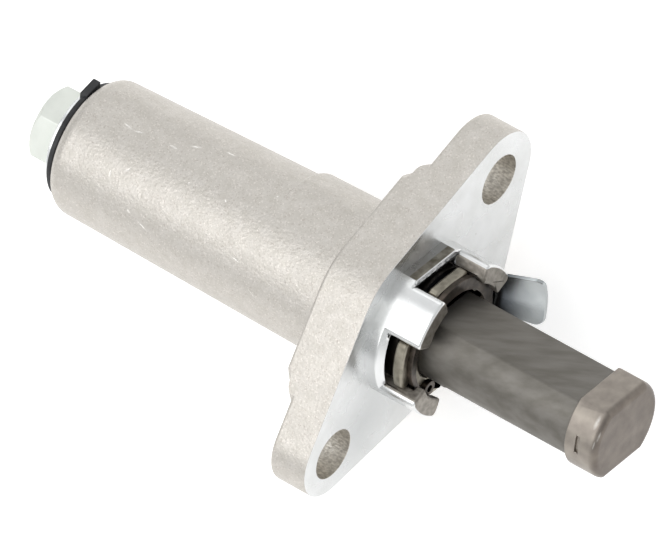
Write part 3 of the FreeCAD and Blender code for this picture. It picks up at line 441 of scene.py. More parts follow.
def dull_places(tree, laid, gloss, patch_mm):
    """Shift the roughness between two values."""
    clouds = add_node(
        tree,
        "ShaderNodeTexNoise",
        values={
            "Scale": CLOUDS_PER_PATCH / (patch_mm * MM),
            "Detail": 4.0,
            "Distortion": 0.4,
        },
        links={"Vector": laid},
    )
    return add_node(
        tree,
        "ShaderNodeMapRange",
        values={
            "From Min": GLOSS_FADE[0],
            "From Max": GLOSS_FADE[1],
            "To Min": gloss[0],
            "To Max": gloss[1],
        },
        links={"Value": clouds.outputs["Fac"]},
    ).outputs[0]


print("patches of gloss are", round(1 / CLOUDS_PER_PATCH, 2), "times as wide as those of tone")

# %% [markdown]
# ## A bare metal
# Every metal below is the same idea with other numbers: two tones, a range of gloss, and a fine
# grain that raises and lowers the surface by a few thousandths of a millimetre, or by a few
# hundredths on torn and blasted skin. Real bumps that small would take millions of faces, and a
# Bump node tilts the light as they do. Each pattern is sized in millimetres on the part's own
# coordinates, so it stays put when the part moves, and a Mapping node can stretch or turn it
# the way the metal was worked. Metallic is 1 and the IOR stays at its default, because a bare
# metal's look is its colour and its gloss.


# %% Tones, gloss and grain in one shader
def metal(
    name,
    light,
    dark,
    patch_mm,
    gloss,
    grain_mm,
    depth_mm,
    stretch=(1, 1, 1),
    turned=(0, 0, 0),
):
    """Start a metal. Its parts come back by name, so that a finish can add to them."""
    material = bpy.data.materials.new(name)
    material.use_nodes = True
    tree = material.node_tree
    shader = tree.nodes["Principled BSDF"]
    shader.inputs["Metallic"].default_value = 1.0
    coords = add_node(tree, "ShaderNodeTexCoord").outputs["Object"]
    laid = add_node(
        tree,
        "ShaderNodeMapping",
        {"vector_type": "TEXTURE"},
        {"Rotation": turned, "Scale": stretch},
        {"Vector": coords},
    ).outputs[0]
    colour = two_tones(tree, laid, light, dark, patch_mm)
    roughness = dull_places(tree, laid, gloss, patch_mm)
    grain = add_node(
        tree,
        "ShaderNodeTexNoise",
        values={"Scale": 1 / (grain_mm * MM), "Detail": 2.0},
        links={"Vector": laid},
    )
    relief = add_node(
        tree,
        "ShaderNodeBump",
        values={"Strength": 1.0, "Distance": depth_mm * MM},
        links={"Height": grain.outputs["Fac"]},
    ).outputs[0]
    tree.links.new(colour, shader.inputs["Base Color"])
    tree.links.new(roughness, shader.inputs["Roughness"])
    tree.links.new(relief, shader.inputs["Normal"])
    return {
        "material": material,
        "tree": tree,
        "shader": shader,
        "coords": coords,
        "colour": colour,
        "roughness": roughness,
        "relief": relief,
    }


# %% [markdown]
# ## Marks
# A scratch or a smear has a place of its own, which no noise will find. It could be painted on
# an image, but then the image has to travel with the part. A Mapping node can put it there too:
# it moves, turns and stretches the coordinates so that the mark's long thin shape becomes a
# ball round the origin, and a spherical Gradient is then 1 in its middle and 0 outside. Several
# such masks are joined by keeping the strongest.


# %% Marks laid one by one
def scratch(tree, coords, start_mm, end_mm, width_mm):
    """A mask that is 1 in the middle of a short line on the surface and fades out round it."""
    start, end = Vector(start_mm) * MM, Vector(end_mm) * MM
    turned = (end - start).to_track_quat("X", "Z").to_euler()
    local = add_node(
        tree,
        "ShaderNodeMapping",
        {"vector_type": "TEXTURE"},
        {
            "Location": (start + end) / 2,
            "Rotation": turned,
            "Scale": ((end - start).length / 2, width_mm * MM / 2, width_mm * MM / 2),
        },
        {"Vector": coords},
    )
    return add_node(
        tree,
        "ShaderNodeTexGradient",
        {"gradient_type": "SPHERICAL"},
        links={"Vector": local.outputs[0]},
    ).outputs["Fac"]


def strongest(tree, masks):
    """Join masks, keeping the strongest at each point."""
    joined = masks[0]
    for mask in masks[1:]:
        joined = add_node(
            tree, "ShaderNodeMath", {"operation": "MAXIMUM"}, links={0: joined, 1: mask}
        ).outputs[0]
    return joined


# %% [markdown]
# ## Facets left by the shot
# The housing comes out of a die and is then blasted with fine shot, which leaves a skin of tiny
# facets. A few mirror the light and a few lie in their own shade, so the skin glitters. Those
# glints and that shade are painted: a few facets get a lighter colour and a few a darker one,
# while a bump tilts them all. A Voronoi texture gives just such cells, each with a random colour
# of its own to pick the bright and the dark ones by. Real facets are under a tenth of a
# millimetre and too fine to show at this size of picture, so they are drawn 0.16 mm wide.

# %% Facets that glitter
FACET_MM = 0.16
FACET_DEPTH_MM = 0.02
BRIGHT_FROM, SHADED_FROM = 0.8, 0.85


def shot_facets(tree, coords, colour, relief):
    """Paint glints on a few facets and shade on a few others, and tilt them all; gives the new
    colour and relief.
    """
    facets = add_node(
        tree,
        "ShaderNodeTexVoronoi",
        values={"Scale": 1 / (FACET_MM * MM)},
        links={"Vector": coords},
    )
    glitter = add_node(
        tree,
        "ShaderNodeBump",
        values={"Strength": 0.4, "Distance": FACET_DEPTH_MM * MM},
        links={"Height": facets.outputs["Distance"], "Normal": relief},
    )
    pick = add_node(tree, "ShaderNodeSeparateColor", links={"Color": facets.outputs["Color"]})
    lit = add_node(
        tree,
        "ShaderNodeMapRange",
        values={"From Min": BRIGHT_FROM, "From Max": 1.0},
        links={"Value": pick.outputs["Red"]},
    )
    shaded = add_node(
        tree,
        "ShaderNodeMapRange",
        values={"From Min": SHADED_FROM, "From Max": 1.0},
        links={"Value": pick.outputs["Green"]},
    )
    # Painted glints, then painted shade, on single facets.
    painted_glints = add_node(
        tree,
        "ShaderNodeMix",
        {"data_type": "RGBA"},
        {"B": linear("#d0cbc5")},
        {"Factor": lit.outputs[0], "A": colour},
    )
    painted_facet_shade = add_node(
        tree,
        "ShaderNodeMix",
        {"data_type": "RGBA"},
        {"B": linear("#b3ada6")},
        {"Factor": shaded.outputs[0], "A": painted_glints.outputs["Result"]},
    )
    return painted_facet_shade.outputs["Result"], glitter.outputs[0]


print("one facet in", round(1 / (1 - BRIGHT_FROM)), "is more or less bright")

# %% [markdown]
# ## Dashes and scratches
# Castings tumble against each other on their way, so a few pale dashes and long scratches lie
# on the barrel. They are laid where the photograph shows them, each a short line on the
# surface. A mark of even width looks drawn with a pen, so a fine noise tears it along its
# length. Torn metal is bright, and lies a little deeper than the skin round it.

# %% Bright dashes on the barrel
BARREL_MARKS = [
    # start and end on the barrel's surface, and the width, in millimetres
    ((-44.97, 2.92, 8.92), (-43.1, 2.57, 9.1), 0.3),
    ((-42.9, 2.58, 9.12), (-41.53, 2.95, 9.02), 0.35),
    ((-37.77, 3.17, 9.04), (-36.2, 3.22, 9.07), 0.4),
    ((-35.38, 4.32, 8.58), (-33.82, 4.92, 8.28), 0.4),
    ((-31.16, 6.0, 7.58), (-29.5, 6.12, 7.55), 0.35),
    ((-37.19, -6.97, 7.19), (-34.93, -7.67, 6.55), 0.22),
    ((-38.82, -6.35, 7.67), (-38.23, -6.69, 7.42), 0.35),
    ((-16.91, -3.12, 9.79), (-15.71, -6.37, 8.15), 0.26),
    ((-19.02, -7.76, 6.82), (-17.83, -8.27, 6.22), 0.2),
    ((-40.89, -2.54, 9.42), (-40.26, -1.68, 9.59), 0.35),
    ((-42.86, -3.04, 9.26), (-42.57, -4.23, 8.84), 0.3),
    ((-32.23, -0.18, 9.85), (-32.02, 0.22, 9.85), 0.3),
    ((-26.56, 0.46, 9.97), (-26.14, 0.07, 9.99), 0.3),
    ((-20.98, 4.09, 9.17), (-20.68, 3.92, 9.26), 0.4),
    ((-22.53, -5.32, 8.71), (-20.63, -5.63, 8.56), 0.18),
    ((-31.0, 9.9, 2.0), (-29.5, 9.95, 0.4), 0.25),
    ((-41.0, -6.7, -7.0), (-38.5, -7.2, -6.7), 0.25),
]
TEAR_MM = 0.2
MARK_DEPTH_MM = 0.06


def torn_marks(tree, coords, colour, relief):
    """Lay the dashes and scratches; gives the new colour and relief."""
    marks = [scratch(tree, coords, *mark) for mark in BARREL_MARKS]
    # Along a mark the strength runs between a quarter and full, so that it looks torn.
    torn = add_node(
        tree,
        "ShaderNodeTexNoise",
        values={"Scale": 1 / (TEAR_MM * MM), "Detail": 2.0},
        links={"Vector": coords},
    )
    ragged = add_node(
        tree,
        "ShaderNodeMapRange",
        values={"From Min": 0.35, "From Max": 0.6, "To Min": 0.25, "To Max": 1.0},
        links={"Value": torn.outputs["Fac"]},
    )
    uneven = add_node(
        tree,
        "ShaderNodeMath",
        {"operation": "MULTIPLY"},
        links={0: strongest(tree, marks), 1: ragged.outputs[0]},
    )
    # A mark is broadened towards its sides, and never hides more than 0.7 of the skin's colour.
    clear = add_node(
        tree,
        "ShaderNodeMapRange",
        values={"From Min": 0.0, "From Max": 0.6, "To Max": 0.7},
        links={"Value": uneven.outputs[0]},
    )
    groove = add_node(
        tree,
        "ShaderNodeBump",
        {"invert": True},
        {"Strength": 0.8, "Distance": MARK_DEPTH_MM * MM},
        {"Height": clear.outputs[0], "Normal": relief},
    )
    bright = add_node(
        tree,
        "ShaderNodeMix",
        {"data_type": "RGBA"},
        {"B": linear("#fbf9f5")},
        {"Factor": clear.outputs[0], "A": colour},
    )
    return bright.outputs["Result"], groove.outputs[0]


longest = max((Vector(end) - Vector(start)).length for start, end, width in BARREL_MARKS)
print(len(BARREL_MARKS), "marks, the longest", round(longest, 1), "mm")

# %% [markdown]
# ## Shot-blasted cast aluminium
# The skin under those facets and marks is warm, pale and matt, and dented like orange peel. The
# dents could be carved, but a bump already shows all of them that the eye can tell. Those of
# fine shot are a tenth or two of a millimetre wide, hardly more than a pixel of this picture,
# so they are drawn 0.42 mm apart.


# %% The cast skin
def cast_aluminium():
    """Rough enough to look matt, in the warm greys of a blasted die casting."""
    made = metal(
        "shot_blasted_cast_aluminium",
        light="#c3bfb9",
        dark="#bdb9b2",
        patch_mm=1.4,
        gloss=(0.45, 0.53),
        grain_mm=0.42,
        depth_mm=0.07,
    )
    tree, shader, coords = made["tree"], made["shader"], made["coords"]
    colour, relief = shot_facets(tree, coords, made["colour"], made["relief"])
    colour, relief = torn_marks(tree, coords, colour, relief)
    tree.links.new(colour, shader.inputs["Base Color"])
    tree.links.new(relief, shader.inputs["Normal"])
    return made["material"]


cast_skin = cast_aluminium()
print(cast_skin.name, "has", len(cast_skin.node_tree.nodes), "nodes")

# %% [markdown]
# ## Oil, painted reflections and painted shade on the milled face
# Cut metal shows whatever has touched it. Beside the spigot oil has dried to a film, and its
# grey colour is painted dark reflection. A small nick sits near it. The side towards the smaller
# ear gets painted shade, a darker colour that stands in for the duller light it mirrors. All
# three are marks again, only wider. A film with a clean outline would look like paint, so a slow
# noise breaks it up, and where it lies the metal is rougher as well as greyer.

# %% Film with painted reflection, painted shade and nick
FACE_SMEARS_AND_PAINTED_REFLECTIONS = [
    # two smears of oil, whose grey is painted reflection, and one nick: start and end on the
    # face, and the width, in millimetres
    ((0, 1.8, 11.4), (0, 9.4, 6.3), 4.4),
    ((0, 6.0, 10.6), (0, 9.9, 8.2), 2.6),
    ((0, 12.9, -2.4), (0, 13.2, -2.45), 0.35),
]
# the side that gets painted shade: start and end on the face, and the width, in millimetres
PAINTED_SHADE_SIDE = ((0, -4.0, -2.5), (0, -27.0, -2.5), 18.0)
FILM_PATCH_MM = 1.6
FILM_ROUGHNESS = 0.22


def painted_shade_and_oil(tree, coords, colour, roughness):
    """Paint shade on the side of the smaller ear and lay the film, whose grey is painted
    reflection; gives the new colour and roughness.
    """
    # Painted shade: the side of the smaller ear is darkened.
    shaded_side = add_node(
        tree,
        "ShaderNodeMix",
        {"data_type": "RGBA"},
        {"B": linear("#c0c2c2")},
        {"Factor": scratch(tree, coords, *PAINTED_SHADE_SIDE), "A": colour},
    )
    film_and_reflection = strongest(tree, [scratch(tree, coords, *smear) for smear in FACE_SMEARS_AND_PAINTED_REFLECTIONS])
    # The film is thinned to less than half in some places and thickened in others.
    broken = add_node(
        tree,
        "ShaderNodeTexNoise",
        values={"Scale": 1 / (FILM_PATCH_MM * MM), "Detail": 2.0},
        links={"Vector": coords},
    )
    patchy = add_node(
        tree,
        "ShaderNodeMapRange",
        values={"From Min": 0.3, "From Max": 0.6, "To Min": 0.4, "To Max": 1.6},
        links={"Value": broken.outputs["Fac"]},
    )
    cover = add_node(
        tree,
        "ShaderNodeMath",
        {"operation": "MULTIPLY", "use_clamp": True},
        links={0: film_and_reflection, 1: patchy.outputs[0]},
    )
    # The film's grey colour is painted dark reflection; its added roughness is the oil.
    oiled_and_reflected = add_node(
        tree,
        "ShaderNodeMix",
        {"data_type": "RGBA"},
        {"B": linear("#c2c0bd")},
        {"Factor": cover.outputs[0], "A": shaded_side.outputs["Result"]},
    )
    duller = add_node(
        tree,
        "ShaderNodeMath",
        {"operation": "MULTIPLY_ADD"},
        {1: FILM_ROUGHNESS},
        {0: cover.outputs[0], 2: roughness},
    )
    return oiled_and_reflected.outputs["Result"], duller.outputs[0]


widest = max(width for start, end, width in FACE_SMEARS_AND_PAINTED_REFLECTIONS)
print(len(FACE_SMEARS_AND_PAINTED_REFLECTIONS), "marks on the face, the widest", widest, "mm")

# %% [markdown]
# ## Traces of the face mill
# A large face mill cuts the flange flat. Its teeth leave faint arcs 0.35 mm apart, all about
# the mill's own centre, which lay outside the part. The metal also gives way a little under
# it, so the face swells and its reflections wander. Real grooves would need a mesh as fine as
# the arcs. A Wave texture of rings draws them once a Mapping node has put its centre where the
# mill's was, and a slow noise is the swell.

# %% Swell and arcs
ARC_SPACING_MM = 0.35
ARC_DEPTH_MM = 0.003
MILL_CENTRE_MM = (0, -38, -20)
SWELL_MM = 5.0
# A real swell is a hundredth or two deep, which is too little to show at this size.
SWELL_DEPTH_MM = 0.12


def mill_traces(tree, coords, relief):
    """Add the slow swell and the arcs of the cut to the relief."""
    swell = add_node(
        tree,
        "ShaderNodeTexNoise",
        values={"Scale": 1 / (SWELL_MM * MM), "Detail": 1.0},
        links={"Vector": coords},
    )
    wavy = add_node(
        tree,
        "ShaderNodeBump",
        values={"Strength": 1.0, "Distance": SWELL_DEPTH_MM * MM},
        links={"Height": swell.outputs["Fac"], "Normal": relief},
    )
    centred = add_node(
        tree,
        "ShaderNodeMapping",
        values={"Location": [-c * MM for c in MILL_CENTRE_MM]},
        links={"Vector": coords},
    )
    # A Wave texture has 20 bands in one unit at scale 1, hence the 0.05.
    arcs = add_node(
        tree,
        "ShaderNodeTexWave",
        {"wave_type": "RINGS", "rings_direction": "X"},
        {"Scale": 0.05 / (ARC_SPACING_MM * MM), "Distortion": 0.6, "Detail": 2.0},
        {"Vector": centred.outputs[0]},
    )
    return add_node(
        tree,
        "ShaderNodeBump",
        values={"Strength": 0.5, "Distance": ARC_DEPTH_MM * MM},
        links={"Height": arcs.outputs["Fac"], "Normal": wavy.outputs[0]},
    ).outputs[0]


print("the mill's centre lay", round(Vector(MILL_CENTRE_MM).length), "mm from the plunger")

# %% [markdown]
# ## Milled aluminium
# The flange's front face seals against the engine, and the spigot is turned out of the same
# metal. Both are cooler in colour and far glossier than the skin, but never a perfect mirror,
# because of the traces and smears above. They could be two materials, but one serves for both:
# the smears fade out before they reach the spigot's front.


# %% The milled face
def milled_aluminium():
    """Cool and glossy, a little wavy: reflections with soft, wandering edges."""
    made = metal(
        "milled_aluminium",
        light="#dcdddd",
        dark="#d3d4d3",
        patch_mm=4.0,
        gloss=(0.2, 0.34),
        grain_mm=0.5,
        depth_mm=0.004,
    )
    tree, shader, coords = made["tree"], made["shader"], made["coords"]
    colour, roughness = painted_shade_and_oil(tree, coords, made["colour"], made["roughness"])
    tree.links.new(colour, shader.inputs["Base Color"])
    tree.links.new(roughness, shader.inputs["Roughness"])
    tree.links.new(mill_traces(tree, coords, made["relief"]), shader.inputs["Normal"])
    return made["material"]


milled_face = milled_aluminium()
print(milled_face.name, "has", len(milled_face.node_tree.nodes), "nodes")

# %% [markdown]
# ## Bolt holes, flats and lug tips
# Three smaller places were cut with other tools. The drill tore the walls of the bolt holes
# into small swirls. The spigot's two flats, cut with an end mill, are brown-grey, with a grey
# band along their foot. The lugs' tips and sides were sawn and blasted, which leaves them
# darker, browner and rougher than the rest. Each could borrow the milled finish, but the eye
# tells the tools apart by tone before it sees any shape.

# %% Three smaller finishes
GREY_FOOT_UP_TO_MM = 1.0
BROWN_FROM_MM = 1.15


def drilled_aluminium():
    """Torn metal: a wide range of tones in small swirls drawn out along the hole, and dull."""
    return metal(
        "drilled_aluminium",
        light="#e2ded6",
        dark="#b3aea6",
        patch_mm=0.5,
        gloss=(0.4, 0.6),
        grain_mm=0.35,
        depth_mm=0.06,
        stretch=(1, 0.6, 0.6),
    )["material"]


def end_milled_flats():
    """Brown-grey cut metal with a grey band along its foot."""
    made = metal(
        "end_milled_aluminium",
        light="#8a867d",
        dark="#5f5b50",
        patch_mm=1.2,
        gloss=(0.25, 0.4),
        grain_mm=0.3,
        depth_mm=0.006,
    )
    tree, shader = made["tree"], made["shader"]
    along = add_node(tree, "ShaderNodeSeparateXYZ", links={"Vector": made["coords"]})
    above = add_node(
        tree,
        "ShaderNodeMapRange",
        {"interpolation_type": "SMOOTHSTEP"},
        {"From Min": GREY_FOOT_UP_TO_MM * MM, "From Max": BROWN_FROM_MM * MM},
        {"Value": along.outputs["X"]},
    )
    banded = add_node(
        tree,
        "ShaderNodeMix",
        {"data_type": "RGBA"},
        {"A": linear("#8f8f8d")},
        {"Factor": above.outputs[0], "B": made["colour"]},
    )
    tree.links.new(banded.outputs["Result"], shader.inputs["Base Color"])
    return made["material"]


def lug_tips_and_painted_pocket_shade():
    """Sawn and blasted metal: brown-grey and dull, with a short coarse grain; also painted shade
    on the pocket's floor.
    """
    return metal(
        "lug_tips_and_painted_pocket_shade",
        light="#9f9a92",
        dark="#86817a",
        patch_mm=0.8,
        gloss=(0.42, 0.55),
        grain_mm=0.25,
        depth_mm=0.04,
    )["material"]


HOUSING_FINISHES = [
    cast_skin,
    milled_face,
    drilled_aluminium(),
    end_milled_flats(),
    lug_tips_and_painted_pocket_shade(),
]
print("the housing's finishes:", ", ".join(finish.name for finish in HOUSING_FINISHES))

# %% [markdown]
# ## Where each finish lies
# One casting carries all five finishes. It could be cut into five meshes, but then its edges
# would no longer meet. Instead each face picks its own finish by where it lies and which way it
# looks. The bolt holes are told by their own axes, the flats by their direction, the lugs by
# how far they stand out. The floor of the pocket between ear and ring takes the lugs' dark
# finish as painted shade. Everything else in front of the machined face is cut metal, and so is
# the inside of the bore. The rest is skin.

# %% Zones of the casting
SKIN, MILLED, DRILLED, FLATS, TIPS_AND_POCKET_SHADE = range(5)

# in millimetres: along X from the machined face, or out from a hole's or the plunger's axis
HOLE_OFFSET, HOLE_REACH = 20.25, 3.6
POCKET_FLOOR, POCKET_REACH = (0.5, 2.2), 9.6
RING, RING_FRONT, FLATS_REACH = (0.05, 2.6), 2.1, 8.75
LUGS_FROM, BORE_REACH, HAIR = 2.6, 7.5, 0.01

# how squarely a face looks one way: 1 is straight on and 0 is edge on
SQUARE_ON, NEARLY_EXACT, SLANTING, SIDEWAYS = 0.9, 0.95, 0.3, 0.35

FLATS_DIRECTION = math.radians(51)
FLATS_SIDE = Vector((0, math.cos(FLATS_DIRECTION), math.sin(FLATS_DIRECTION)))


def housing_zone(face):
    """Choose a finish by where a face of the casting lies and which way it looks."""
    centre = face.calc_center_median() / MM
    spoke = Vector((0, centre.y - math.copysign(HOLE_OFFSET, centre.y), centre.z))
    from_axis = math.hypot(centre.y, centre.z)
    forwards = face.normal.x
    outwards = Vector((0, centre.y, centre.z)).normalized().dot(face.normal)
    if spoke.length < HOLE_REACH and centre.x < -HAIR:
        if spoke.normalized().dot(face.normal) < -SQUARE_ON:
            return DRILLED
    # The pocket's floor gets the dark lug-tip finish as painted shade.
    if POCKET_FLOOR[0] < centre.x < POCKET_FLOOR[1]:
        if from_axis < POCKET_REACH and forwards > SQUARE_ON:
            return TIPS_AND_POCKET_SHADE
    if RING[0] < centre.x < RING[1] and abs(centre.dot(FLATS_SIDE)) > FLATS_REACH:
        if abs(face.normal.dot(FLATS_SIDE)) > NEARLY_EXACT:
            return FLATS
        if centre.x > RING_FRONT and forwards > SLANTING:
            return MILLED
    if centre.x > LUGS_FROM and outwards < SIDEWAYS:
        return TIPS_AND_POCKET_SHADE
    if centre.x > -2 * HAIR and (centre.x > HAIR or forwards > SQUARE_ON):
        return MILLED
    return MILLED if from_axis < BORE_REACH else SKIN


print("flats look", round(math.degrees(FLATS_DIRECTION)), "degrees from Y towards Z")

# %% [markdown]
# ## The housing
# The edges of the casting differ as its surfaces do. The lugs' are round, because the blasting
# reached them from all sides. Those of the skin are less so, and those of the cut face stay
# crisp. One width for all would either blunt the face or leave the lugs sharp, so each edge
# gets widths to try by where it lies.

# %% The dressed housing
LUG_EDGES_FROM_MM = 2.3
ROUND_MM, CAST_MM, CRISP_MM = (0.3, 0.15), (0.15,), (0.06,)


def housing_edges(edge):
    """Give the widths to try, in millimetres, by where an edge of the casting lies."""
    along = [vertex.co.x / MM for vertex in edge.verts]
    if min(along) > LUG_EDGES_FROM_MM:
        return ROUND_MM
    return CRISP_MM if max(map(abs, along)) < HAIR else CAST_MM


housing = dressed(
    "housing",
    "root",
    HOUSING_FINISHES,
    widths_mm=ROUND_MM,
    zone=housing_zone,
    widths_at=housing_edges,
)

# %% [markdown]
# ## Bolt and washer
# The sealing bolt closes the rear of the bore. It is zinc plated, and its washer has a brighter
# plate. Plating fills the grain of the steel, so both are smooth, and tone and gloss tell them
# apart: the bolt is pale, faintly green-blue and dull, and the washer mirrors its surroundings.
# They could be written out as two metals, but one function of tone and gloss makes both.


# %% Plated pieces at the rear end
def plated_steel(name, light, dark, gloss):
    """Thin plating: smooth, with only slow changes of gloss."""
    made = metal(
        name, light, dark, patch_mm=3.0, gloss=gloss, grain_mm=0.25, depth_mm=0.004
    )
    return made["material"]


zinc = plated_steel("zinc_plated_steel", "#dee1db", "#d7dad4", gloss=(0.55, 0.62))
bolt = dressed("sealing_bolt", "root", [zinc], widths_mm=(0.12,))
bright_plate = plated_steel("bright_plated_steel", "#e4e5e5", "#d2d4d4", gloss=(0.18, 0.3))
washer = dressed("bolt_washer", "root", [bright_plate], widths_mm=(0.05,))

# %% [markdown]
# ## The rubber seal
# A moulded rubber washer with a pull tab seals the bolt. Rubber is the one piece here that is
# no metal: its colour lies under a clear surface with an IOR of about 1.5, and its pebbled skin
# scatters light softly. It can still start from the same three patterns, so only two values
# are changed.

# %% Moulded black rubber
RUBBER_IOR = 1.52


def black_rubber():
    """Near black and dusty in places, with a fine pebbled skin that kills reflections."""
    made = metal(
        "moulded_black_rubber",
        light="#26272a",
        dark="#141517",
        patch_mm=1.5,
        gloss=(0.5, 0.7),
        grain_mm=0.2,
        depth_mm=0.012,
    )
    made["shader"].inputs["Metallic"].default_value = 0.0
    made["shader"].inputs["IOR"].default_value = RUBBER_IOR
    return made["material"]


seal = dressed("bolt_seal", "root", [black_rubber()])

# %% [markdown]
# ## Soft corners beside the flats
# Plunger and cap are round with two flats, and the flats run out over a softly rounded corner.
# The construction divides the round side into narrow strips. The strip beside such a corner
# would show as a hard line, so it is joined to its neighbour, and on these two pieces only
# bends above 50 degrees count as sharp. A finer construction would do as well, with many times
# the faces.

# %% Edges that only divide a round side
ROUNDED = math.radians(50)
STRIP_DEGREES = (1, 11)
ALONG_PLUNGER = 0.999
ON_ROUND_SIDE_MM = 0.05


def beside_corners(radius_mm, corner_degrees):
    """Make a test for the long edges on the round side that lie next to a flat's corner."""

    def chosen(edge):
        run = edge.verts[1].co - edge.verts[0].co
        middle = (edge.verts[0].co + edge.verts[1].co) / 2 / MM
        middle.x = 0.0
        if abs(run.x) < ALONG_PLUNGER * run.length:
            return False
        if abs(middle.length - radius_mm) > ON_ROUND_SIDE_MM:
            return False
        from_flat = math.degrees(math.acos(min(1.0, abs(middle.normalized().dot(FLATS_SIDE)))))
        return STRIP_DEGREES[0] < from_flat - corner_degrees < STRIP_DEGREES[1]

    return chosen


print("joined:", STRIP_DEGREES[0], "to", STRIP_DEGREES[1], "degrees beside each corner")

# %% [markdown]
# ## The plunger
# The plunger is a hardened steel rod, grey-brown from its heat treatment, with slanting smears
# where it was wiped and handled. Smears could be laid one by one as marks, but they cover the
# whole rod, so the patterns themselves are stretched four times and turned instead.

# %% Hardened steel
PLUNGER_RADIUS_MM, PLUNGER_CORNER = 6.0, 37.7


def hardened_steel():
    """Grey-brown tones drawn out in long slanting smears, and a soft gloss."""
    return metal(
        "hardened_ground_steel",
        light="#7b7873",
        dark="#6c6963",
        patch_mm=1.6,
        gloss=(0.5, 0.6),
        grain_mm=0.12,
        depth_mm=0.004,
        stretch=(4.0, 1.0, 1.0),
        turned=(0, 0.35, 0.5),
    )["material"]


plunger = dressed(
    "plunger",
    "plunger",
    [hardened_steel()],
    widths_mm=(0.12,),
    merged=beside_corners(PLUNGER_RADIUS_MM, PLUNGER_CORNER),
    sharp=ROUNDED,
)

# %% [markdown]
# ## The cap
# The cap is pressed from steel sheet and tumbled, which leaves satin sides that turn over a
# soft rim, and its colour is darker on the front. Along the rim, three bright places are partly
# scraped metal and partly painted highlight, and a painted highlight lies on the lit side of the
# stake mark. The front could be a second material, but it would start at a hard line, so the
# colour fades over the rim instead.

# %% Tumbled sheet steel
CAP_SCUFFS_AND_HIGHLIGHTS = [
    # three on the rim, partly scraped metal and partly painted highlight, and a painted
    # highlight at the stake mark: start, end and width in millimetres
    ((31.9, -2.4, 6.25), (31.95, -0.2, 6.7), 0.7),
    ((32.75, -3.5, 5.4), (32.8, -2.0, 6.05), 0.35),
    ((32.5, -4.6, 4.8), (32.6, -3.3, 5.7), 0.25),
    ((29.95, -4.3, 5.15), (30.15, -5.8, 3.35), 0.5),
]
SCUFF_AND_HIGHLIGHT_GRAIN_MM = 0.35
RIM_FROM_MM, RIM_TO_MM = 31.9, 33.0
CAP_RADIUS_MM, CAP_CORNER = 6.7, 35.6


def satin_cap_steel():
    """Satin sides and a darker front, with ragged bright scuffs and painted highlights."""
    made = metal(
        "tumbled_sheet_steel",
        light="#9a938a",
        dark="#878079",
        patch_mm=2.2,
        gloss=(0.36, 0.46),
        grain_mm=0.18,
        depth_mm=0.01,
    )
    tree, shader, coords = made["tree"], made["shader"], made["coords"]
    along = add_node(tree, "ShaderNodeSeparateXYZ", links={"Vector": coords})
    over_rim = add_node(
        tree,
        "ShaderNodeMapRange",
        {"interpolation_type": "SMOOTHSTEP"},
        {"From Min": RIM_FROM_MM * MM, "From Max": RIM_TO_MM * MM},
        {"Value": along.outputs["X"]},
    )
    fronted = add_node(
        tree,
        "ShaderNodeMix",
        {"data_type": "RGBA", "blend_type": "MULTIPLY"},
        {"B": linear("#cac7c6")},
        {"Factor": over_rim.outputs[0], "A": made["colour"]},
    )
    rubbed_and_lit = strongest(tree, [scratch(tree, coords, *scuff) for scuff in CAP_SCUFFS_AND_HIGHLIGHTS])
    ragged = add_node(
        tree,
        "ShaderNodeTexNoise",
        values={"Scale": 1 / (SCUFF_AND_HIGHLIGHT_GRAIN_MM * MM), "Detail": 2.0},
        links={"Vector": coords},
    )
    worn_and_lit = add_node(
        tree,
        "ShaderNodeMath",
        {"operation": "MULTIPLY", "use_clamp": True},
        links={0: rubbed_and_lit, 1: ragged.outputs["Fac"]},
    )
    # Bright scuffs and painted highlights.
    bright = add_node(
        tree,
        "ShaderNodeMix",
        {"data_type": "RGBA"},
        {"B": linear("#e3e1dc")},
        {"Factor": worn_and_lit.outputs[0], "A": fronted.outputs["Result"]},
    )
    tree.links.new(bright.outputs["Result"], shader.inputs["Base Color"])
    return made["material"]


cap = dressed(
    "plunger_cap",
    "plunger",
    [satin_cap_steel()],
    merged=beside_corners(CAP_RADIUS_MM, CAP_CORNER),
    sharp=ROUNDED,
)

# %% [markdown]
# ## The tongue plate
# The tongue plate is stamped from bright plated sheet. Its foot, between the lugs, lies in
# shade,
# and that shade is painted: the colour turns dark and bluish towards the flange. A mark could
# darken the foot, but the change runs evenly along the whole tongue, so the painted shade simply
# follows the distance from the flange.

# %% Plating with painted shade at the foot
FOOT_MM, TIP_MM = 5.5, 10.8


def plate_with_painted_foot_shade():
    """Nearly a mirror, with painted shade that turns the foot dark and blue."""
    made = metal(
        "plated_sheet_with_painted_foot_shade",
        light="#b3b7b7",
        dark="#a5a9aa",
        patch_mm=3.0,
        gloss=(0.16, 0.26),
        grain_mm=0.25,
        depth_mm=0.003,
    )
    tree, shader = made["tree"], made["shader"]
    along = add_node(tree, "ShaderNodeSeparateXYZ", links={"Vector": made["coords"]})
    rise = add_node(
        tree,
        "ShaderNodeMapRange",
        {"interpolation_type": "SMOOTHSTEP"},
        {"From Min": FOOT_MM * MM, "From Max": TIP_MM * MM},
        {"Value": along.outputs["X"]},
    )
    # Painted shade: dark blue-grey at the foot, fading out towards the tip.
    painted_foot_shade = add_node(
        tree,
        "ShaderNodeMix",
        {"data_type": "RGBA"},
        {"A": linear("#4d5156")},
        {"Factor": rise.outputs[0], "B": made["colour"]},
    )
    tree.links.new(painted_foot_shade.outputs["Result"], shader.inputs["Base Color"])
    return made["material"]


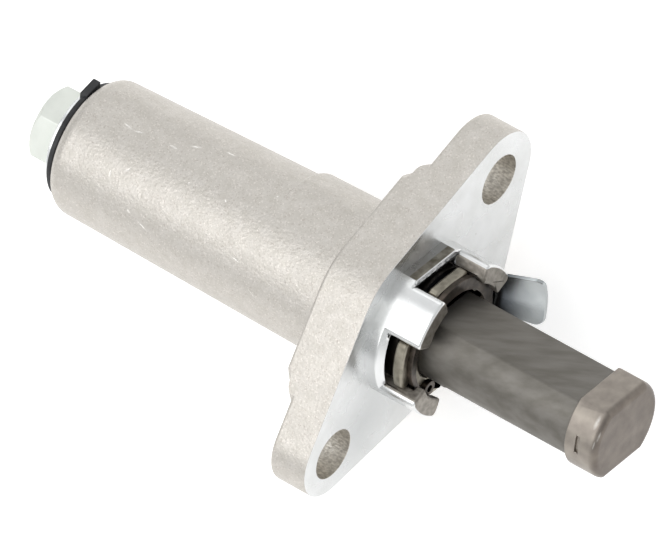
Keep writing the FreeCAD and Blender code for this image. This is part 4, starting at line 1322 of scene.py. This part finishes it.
tongue = dressed("tongue_plate", "root", [plate_with_painted_foot_shade()], widths_mm=(0.08,))

# %% [markdown]
# ## Guide plate and clip
# The thick guide plate keeps the plunger from turning, and the clip holds it in. Stamping has
# rounded the plate's outer edges, so they are broken widest where there is room. Both finishes
# are plain metals without marks, because little of them shows between the lugs.

# %% Phosphated plate and tempered clip
# Phosphate is a crystalline coat that holds oil: olive grey, with a soft uneven sheen.
phosphated = metal(
    "phosphated_plate_steel",
    light="#9c978a",
    dark="#7d786d",
    patch_mm=1.2,
    gloss=(0.3, 0.5),
    grain_mm=0.2,
    depth_mm=0.012,
)["material"]
guide = dressed("guide_plate", "root", [phosphated], widths_mm=(0.35, 0.1))

# Tempering leaves spring steel brown, and a thin oxide keeps some of its gloss.
tempered = metal(
    "tempered_spring_steel",
    light="#5b534c",
    dark="#3d3833",
    patch_mm=1.0,
    gloss=(0.25, 0.4),
    grain_mm=0.15,
    depth_mm=0.006,
)["material"]
clip = dressed("circlip", "root", [tempered], widths_mm=(0.08,))

# %% [markdown]
# ## Pieces deep inside
# The sleeve, the seat, the screw and its spring hardly show. Broken edges would be lost on
# them, so they keep their construction meshes and only get a finish: black oiled steel for the
# sleeve, whose rim is the dark band inside the spigot, even grey ground steel for the seat, and
# the soft greys of rolled and drawn steel for screw and spring.

# %% Finishes inside
INSIDE = {
    # node: name of the finish, light and dark tone, and range of roughness
    "spring_sleeve": ("oiled_black_steel", "#34312e", "#24221f", (0.3, 0.45)),
    "thrust_seat": ("ground_steel_seat", "#c9c8c5", "#b4b2ae", (0.2, 0.3)),
    "lifter_screw": ("rolled_thread_steel", "#8d8983", "#726e68", (0.25, 0.4)),
    "torsion_spring": ("spring_wire_steel", "#77716a", "#5b564f", (0.25, 0.4)),
}
for name, (finish, light, dark, gloss) in INSIDE.items():
    made = metal(
        finish, light, dark, patch_mm=1.5, gloss=gloss, grain_mm=0.15, depth_mm=0.006
    )
    nodes[name].data.materials.clear()
    nodes[name].data.materials.append(made["material"])
print("finished inside:", ", ".join(INSIDE))
